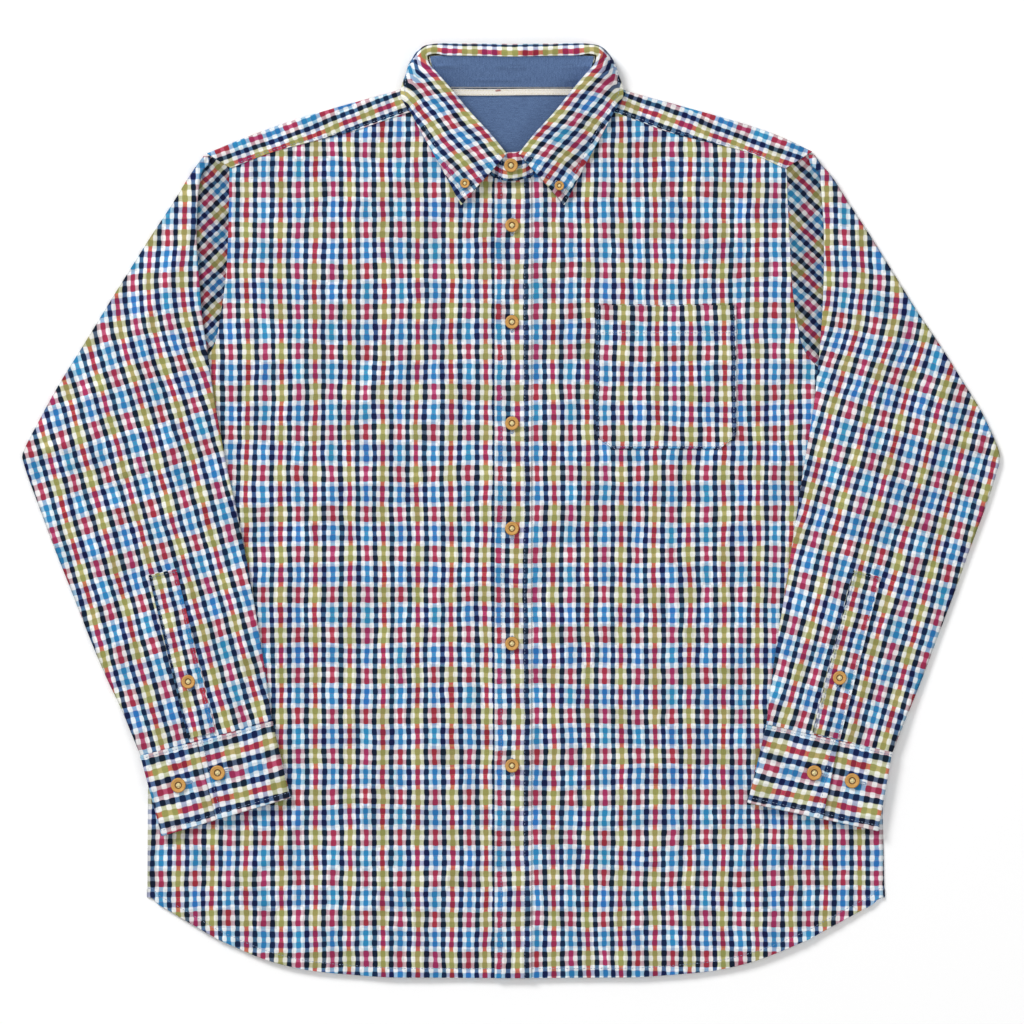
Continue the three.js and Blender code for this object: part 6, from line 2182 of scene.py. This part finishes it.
@dataclass
class Sewing:
    """Stitches that follow lines, made by one Geometry Nodes tree."""

    garment: Garment

    def tree(self) -> bpy.types.NodeTree:
        """Builds the stitch tree.

        Returns:
            A node group with inputs for pitch, length, gauge, turn and finish.
        """
        group = bpy.data.node_groups.new("stitch_line", "GeometryNodeTree")
        face = group.interface
        face.new_socket(name="Lines", in_out="INPUT", socket_type="NodeSocketGeometry")
        for name, value in (("Pitch", 0.003), ("Length", 0.0022), ("Gauge", 0.0004), ("Turn", 0.0)):
            face.new_socket(name=name, in_out="INPUT", socket_type="NodeSocketFloat").default_value = value
        face.new_socket(name="Finish", in_out="INPUT", socket_type="NodeSocketMaterial")
        face.new_socket(name="Stitches", in_out="OUTPUT", socket_type="NodeSocketGeometry")
        new, link = group.nodes.new, group.links.new
        start, end = new("NodeGroupInput"), new("NodeGroupOutput")
        curve = new("GeometryNodeMeshToCurve")
        even = new("GeometryNodeResampleCurve")
        even.mode = "LENGTH"
        tangent = new("GeometryNodeInputTangent")
        aim = new("FunctionNodeAlignRotationToVector")
        aim.axis = "X"
        spin = new("FunctionNodeRotateRotation")
        spin.rotation_space = "LOCAL"
        angle = new("ShaderNodeCombineXYZ")
        ball = new("GeometryNodeMeshUVSphere")
        ball.inputs["Segments"].default_value = 6
        ball.inputs["Rings"].default_value = 4
        ball.inputs["Radius"].default_value = 0.5
        size = new("ShaderNodeCombineXYZ")
        place = new("GeometryNodeInstanceOnPoints")
        real = new("GeometryNodeRealizeInstances")
        soft = new("GeometryNodeSetShadeSmooth")
        paint = new("GeometryNodeSetMaterial")
        link(start.outputs["Lines"], curve.inputs["Mesh"])
        link(curve.outputs[0], even.inputs["Curve"])
        link(start.outputs["Pitch"], even.inputs["Length"])
        link(tangent.outputs[0], aim.inputs["Vector"])
        link(start.outputs["Turn"], angle.inputs["Z"])
        link(aim.outputs[0], spin.inputs["Rotation"])
        link(angle.outputs[0], spin.inputs["Rotate By"])
        link(even.outputs[0], place.inputs["Points"])
        link(ball.outputs["Mesh"], place.inputs["Instance"])
        link(spin.outputs[0], place.inputs["Rotation"])
        link(start.outputs["Length"], size.inputs["X"])
        link(start.outputs["Gauge"], size.inputs["Y"])
        link(start.outputs["Gauge"], size.inputs["Z"])
        link(size.outputs[0], place.inputs["Scale"])
        link(place.outputs[0], real.inputs[0])
        link(real.outputs[0], soft.inputs[0])
        link(soft.outputs[0], paint.inputs["Geometry"])
        link(start.outputs["Finish"], paint.inputs["Material"])
        link(paint.outputs[0], end.inputs[0])
        return group

    def run(
        self,
        name: str,
        lines: Sequence[Array],
        finish: bpy.types.Material,
        slot: str,
        pitch: float,
        length: float,
        gauge: float,
        turn: float = 0.0,
    ) -> bpy.types.Object:
        """Stitches along lines and attaches the piece to the root.

        Args:
            name: The piece's name.
            lines: The lines, mm.
            finish: The thread's finish.
            slot: Not used.
            pitch: Distance between stitches, mm.
            length: A stitch's length, mm.
            gauge: The thread's thickness, mm.
            turn: Angle of each stitch to the line, radians.

        Returns:
            The piece, a plain mesh.
        """
        points, edges = [], []
        for line in lines:
            base = len(points)
            points += ((np.asarray(line) + TABLE_SHIFT) * MM).tolist()
            edges += [(base + k, base + k + 1) for k in range(len(line) - 1)]
        guide = bpy.data.meshes.new(name + "_lines")
        guide.from_pydata(points, edges, [])
        carrier = placed(name + "_lines", guide)
        worker = carrier.modifiers.new("stitches", "NODES")
        worker.node_group = bpy.data.node_groups.get("stitch_line") or self.tree()
        values = {
            "Pitch": pitch * MM, "Length": length * MM, "Gauge": gauge * MM, "Turn": turn, "Finish": finish
        }
        for item in worker.node_group.interface.items_tree:
            if item.item_type == "SOCKET" and item.in_out == "INPUT" and item.name in values:
                worker[item.identifier] = values[item.name]
        graph = bpy.context.evaluated_depsgraph_get()
        mesh = bpy.data.meshes.new_from_object(carrier.evaluated_get(graph))
        bpy.data.objects.remove(carrier)
        mesh.name = name
        piece = placed(name, mesh)
        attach(piece, "root")
        log.info("%s: %d faces", name, len(mesh.polygons))
        return piece

    def build(self, strands: Sequence[Array], holes: Sequence[Array]) -> None:
        """Sews the seams, the buttonholes and the buttons.

        Args:
            strands: Strands over the buttons.
            holes: Outlines of the buttonholes.
        """
        seam_thread = Thread("seam_thread", "#8fa3c2").material()
        hole_thread = Thread("buttonhole_thread", "#9db3d2").material()
        button_thread = Thread("button_thread", "#f4e9b4").material()
        red_thread = Thread("red_thread", "#b3273c").material()
        self.run("top_stitching", self.garment.seams, seam_thread, "check_cotton", 3.0, 2.3, 0.5)
        self.run("buttonhole_stitching", holes, hole_thread, "check_cotton", 0.62, 1.5, 0.6, math.pi / 2)
        self.run("button_threads", strands, button_thread, "tape", 0.3, 0.62, 0.42)
        self.run("tape_stitching", self.garment.tape_seams, button_thread, "tape", 2.6, 1.9, 0.35)
        z = FLOOR_Z + 2 * (CLOTH + LAYER_GAP) + 0.5
        tack = [np.array([(-14.0, 371.0 - 0.5 * k, z), (-10.6, 371.3 - 0.5 * k, z)]) for k in range(3)]
        self.run("tape_tack", tack, red_thread, "tape", 0.9, 1.1, 0.45)


# Studio


@dataclass(frozen=True)
class Studio:
    """The photograph's view from straight above, a pale floor and soft lights."""

    height: float = 6.0
    framed: float = 0.9011
    sensor: float = 36.0

    def camera(self) -> None:
        """Makes the long-lens camera over the shirt's middle."""
        data = bpy.data.cameras.new("overhead_camera")
        data.sensor_width = self.sensor
        data.lens = self.sensor * self.height / self.framed
        data.clip_end = 50.0
        made = placed("overhead_camera", data)
        made.location = (TABLE_SHIFT[0] * MM, TABLE_SHIFT[1] * MM, self.height)
        bpy.context.scene.camera = made

    def floor(self) -> None:
        """Lays the pale floor."""
        mesh = bpy.data.meshes.new("floor")
        mesh.from_pydata([(-4, -4, 0), (4, -4, 0), (4, 4, 0), (-4, 4, 0)], [], [(0, 1, 2, 3)])
        made = placed("floor", mesh)
        paint = bpy.data.materials.new("pale_floor")
        paint.use_nodes = True
        shader = paint.node_tree.nodes["Principled BSDF"]
        shader.inputs["Base Color"].default_value = (0.97, 0.97, 0.97, 1.0)
        shader.inputs["Roughness"].default_value = 0.9
        mesh.materials.append(paint)

    def lamp(self, name: str, place: tuple[float, float, float], size: float, power: float) -> None:
        """Hangs one square soft lamp, aimed at the shirt.

        Args:
            name: Its name.
            place: Its place, metres.
            size: Its side, metres.
            power: Its power, watts.
        """
        data = bpy.data.lights.new(name, "AREA")
        data.shape, data.size, data.energy = "SQUARE", size, power
        made = placed(name, data)
        made.location = place
        made.rotation_mode = "QUATERNION"
        made.rotation_quaternion = (-Vector(place)).to_track_quat("-Z", "Y")

    def build(self) -> None:
        """Sets up the whole studio."""
        self.camera()
        self.floor()
        self.lamp("key_lamp", (-3.2, 3.6, 3.6), 1.8, 275.0)
        self.lamp("fill_lamp", (2.2, -1.2, 3.2), 1.8, 26.0)
        self.lamp("top_lamp", (0.0, 0.0, 4.2), 2.4, 27.0)
        world = bpy.data.worlds.new("studio_world")
        bpy.context.scene.world = world
        world.use_nodes = True
        shade = world.node_tree.nodes["Background"]
        shade.inputs["Color"].default_value = (1.0, 1.0, 1.0, 1.0)
        shade.inputs["Strength"].default_value = 0.38
        bpy.context.scene.view_settings.view_transform = "Standard"


def main() -> None:
    """Builds the studio and the shirt, piece by piece."""
    logging.basicConfig(level=logging.INFO, format="%(name)s %(message)s", force=True)
    Studio().build()
    garment = Garment(
        {
            "check_cotton": CheckCotton().material(),
            "chambray": Chambray().material(),
            "tape": TwillTape().material(),
            "button_wood": TurnedWood().material(),
        }
    )
    BackAndYoke(garment).build()
    body = Body(garment)
    body.build()
    Collar(garment).build()
    for side in Side:
        SleeveMaker(garment, body, side).build()
    strands, holes = ButtonMaker(garment).build()
    Sewing(garment).build(strands, holes)


if __name__ == "__main__":
    main()
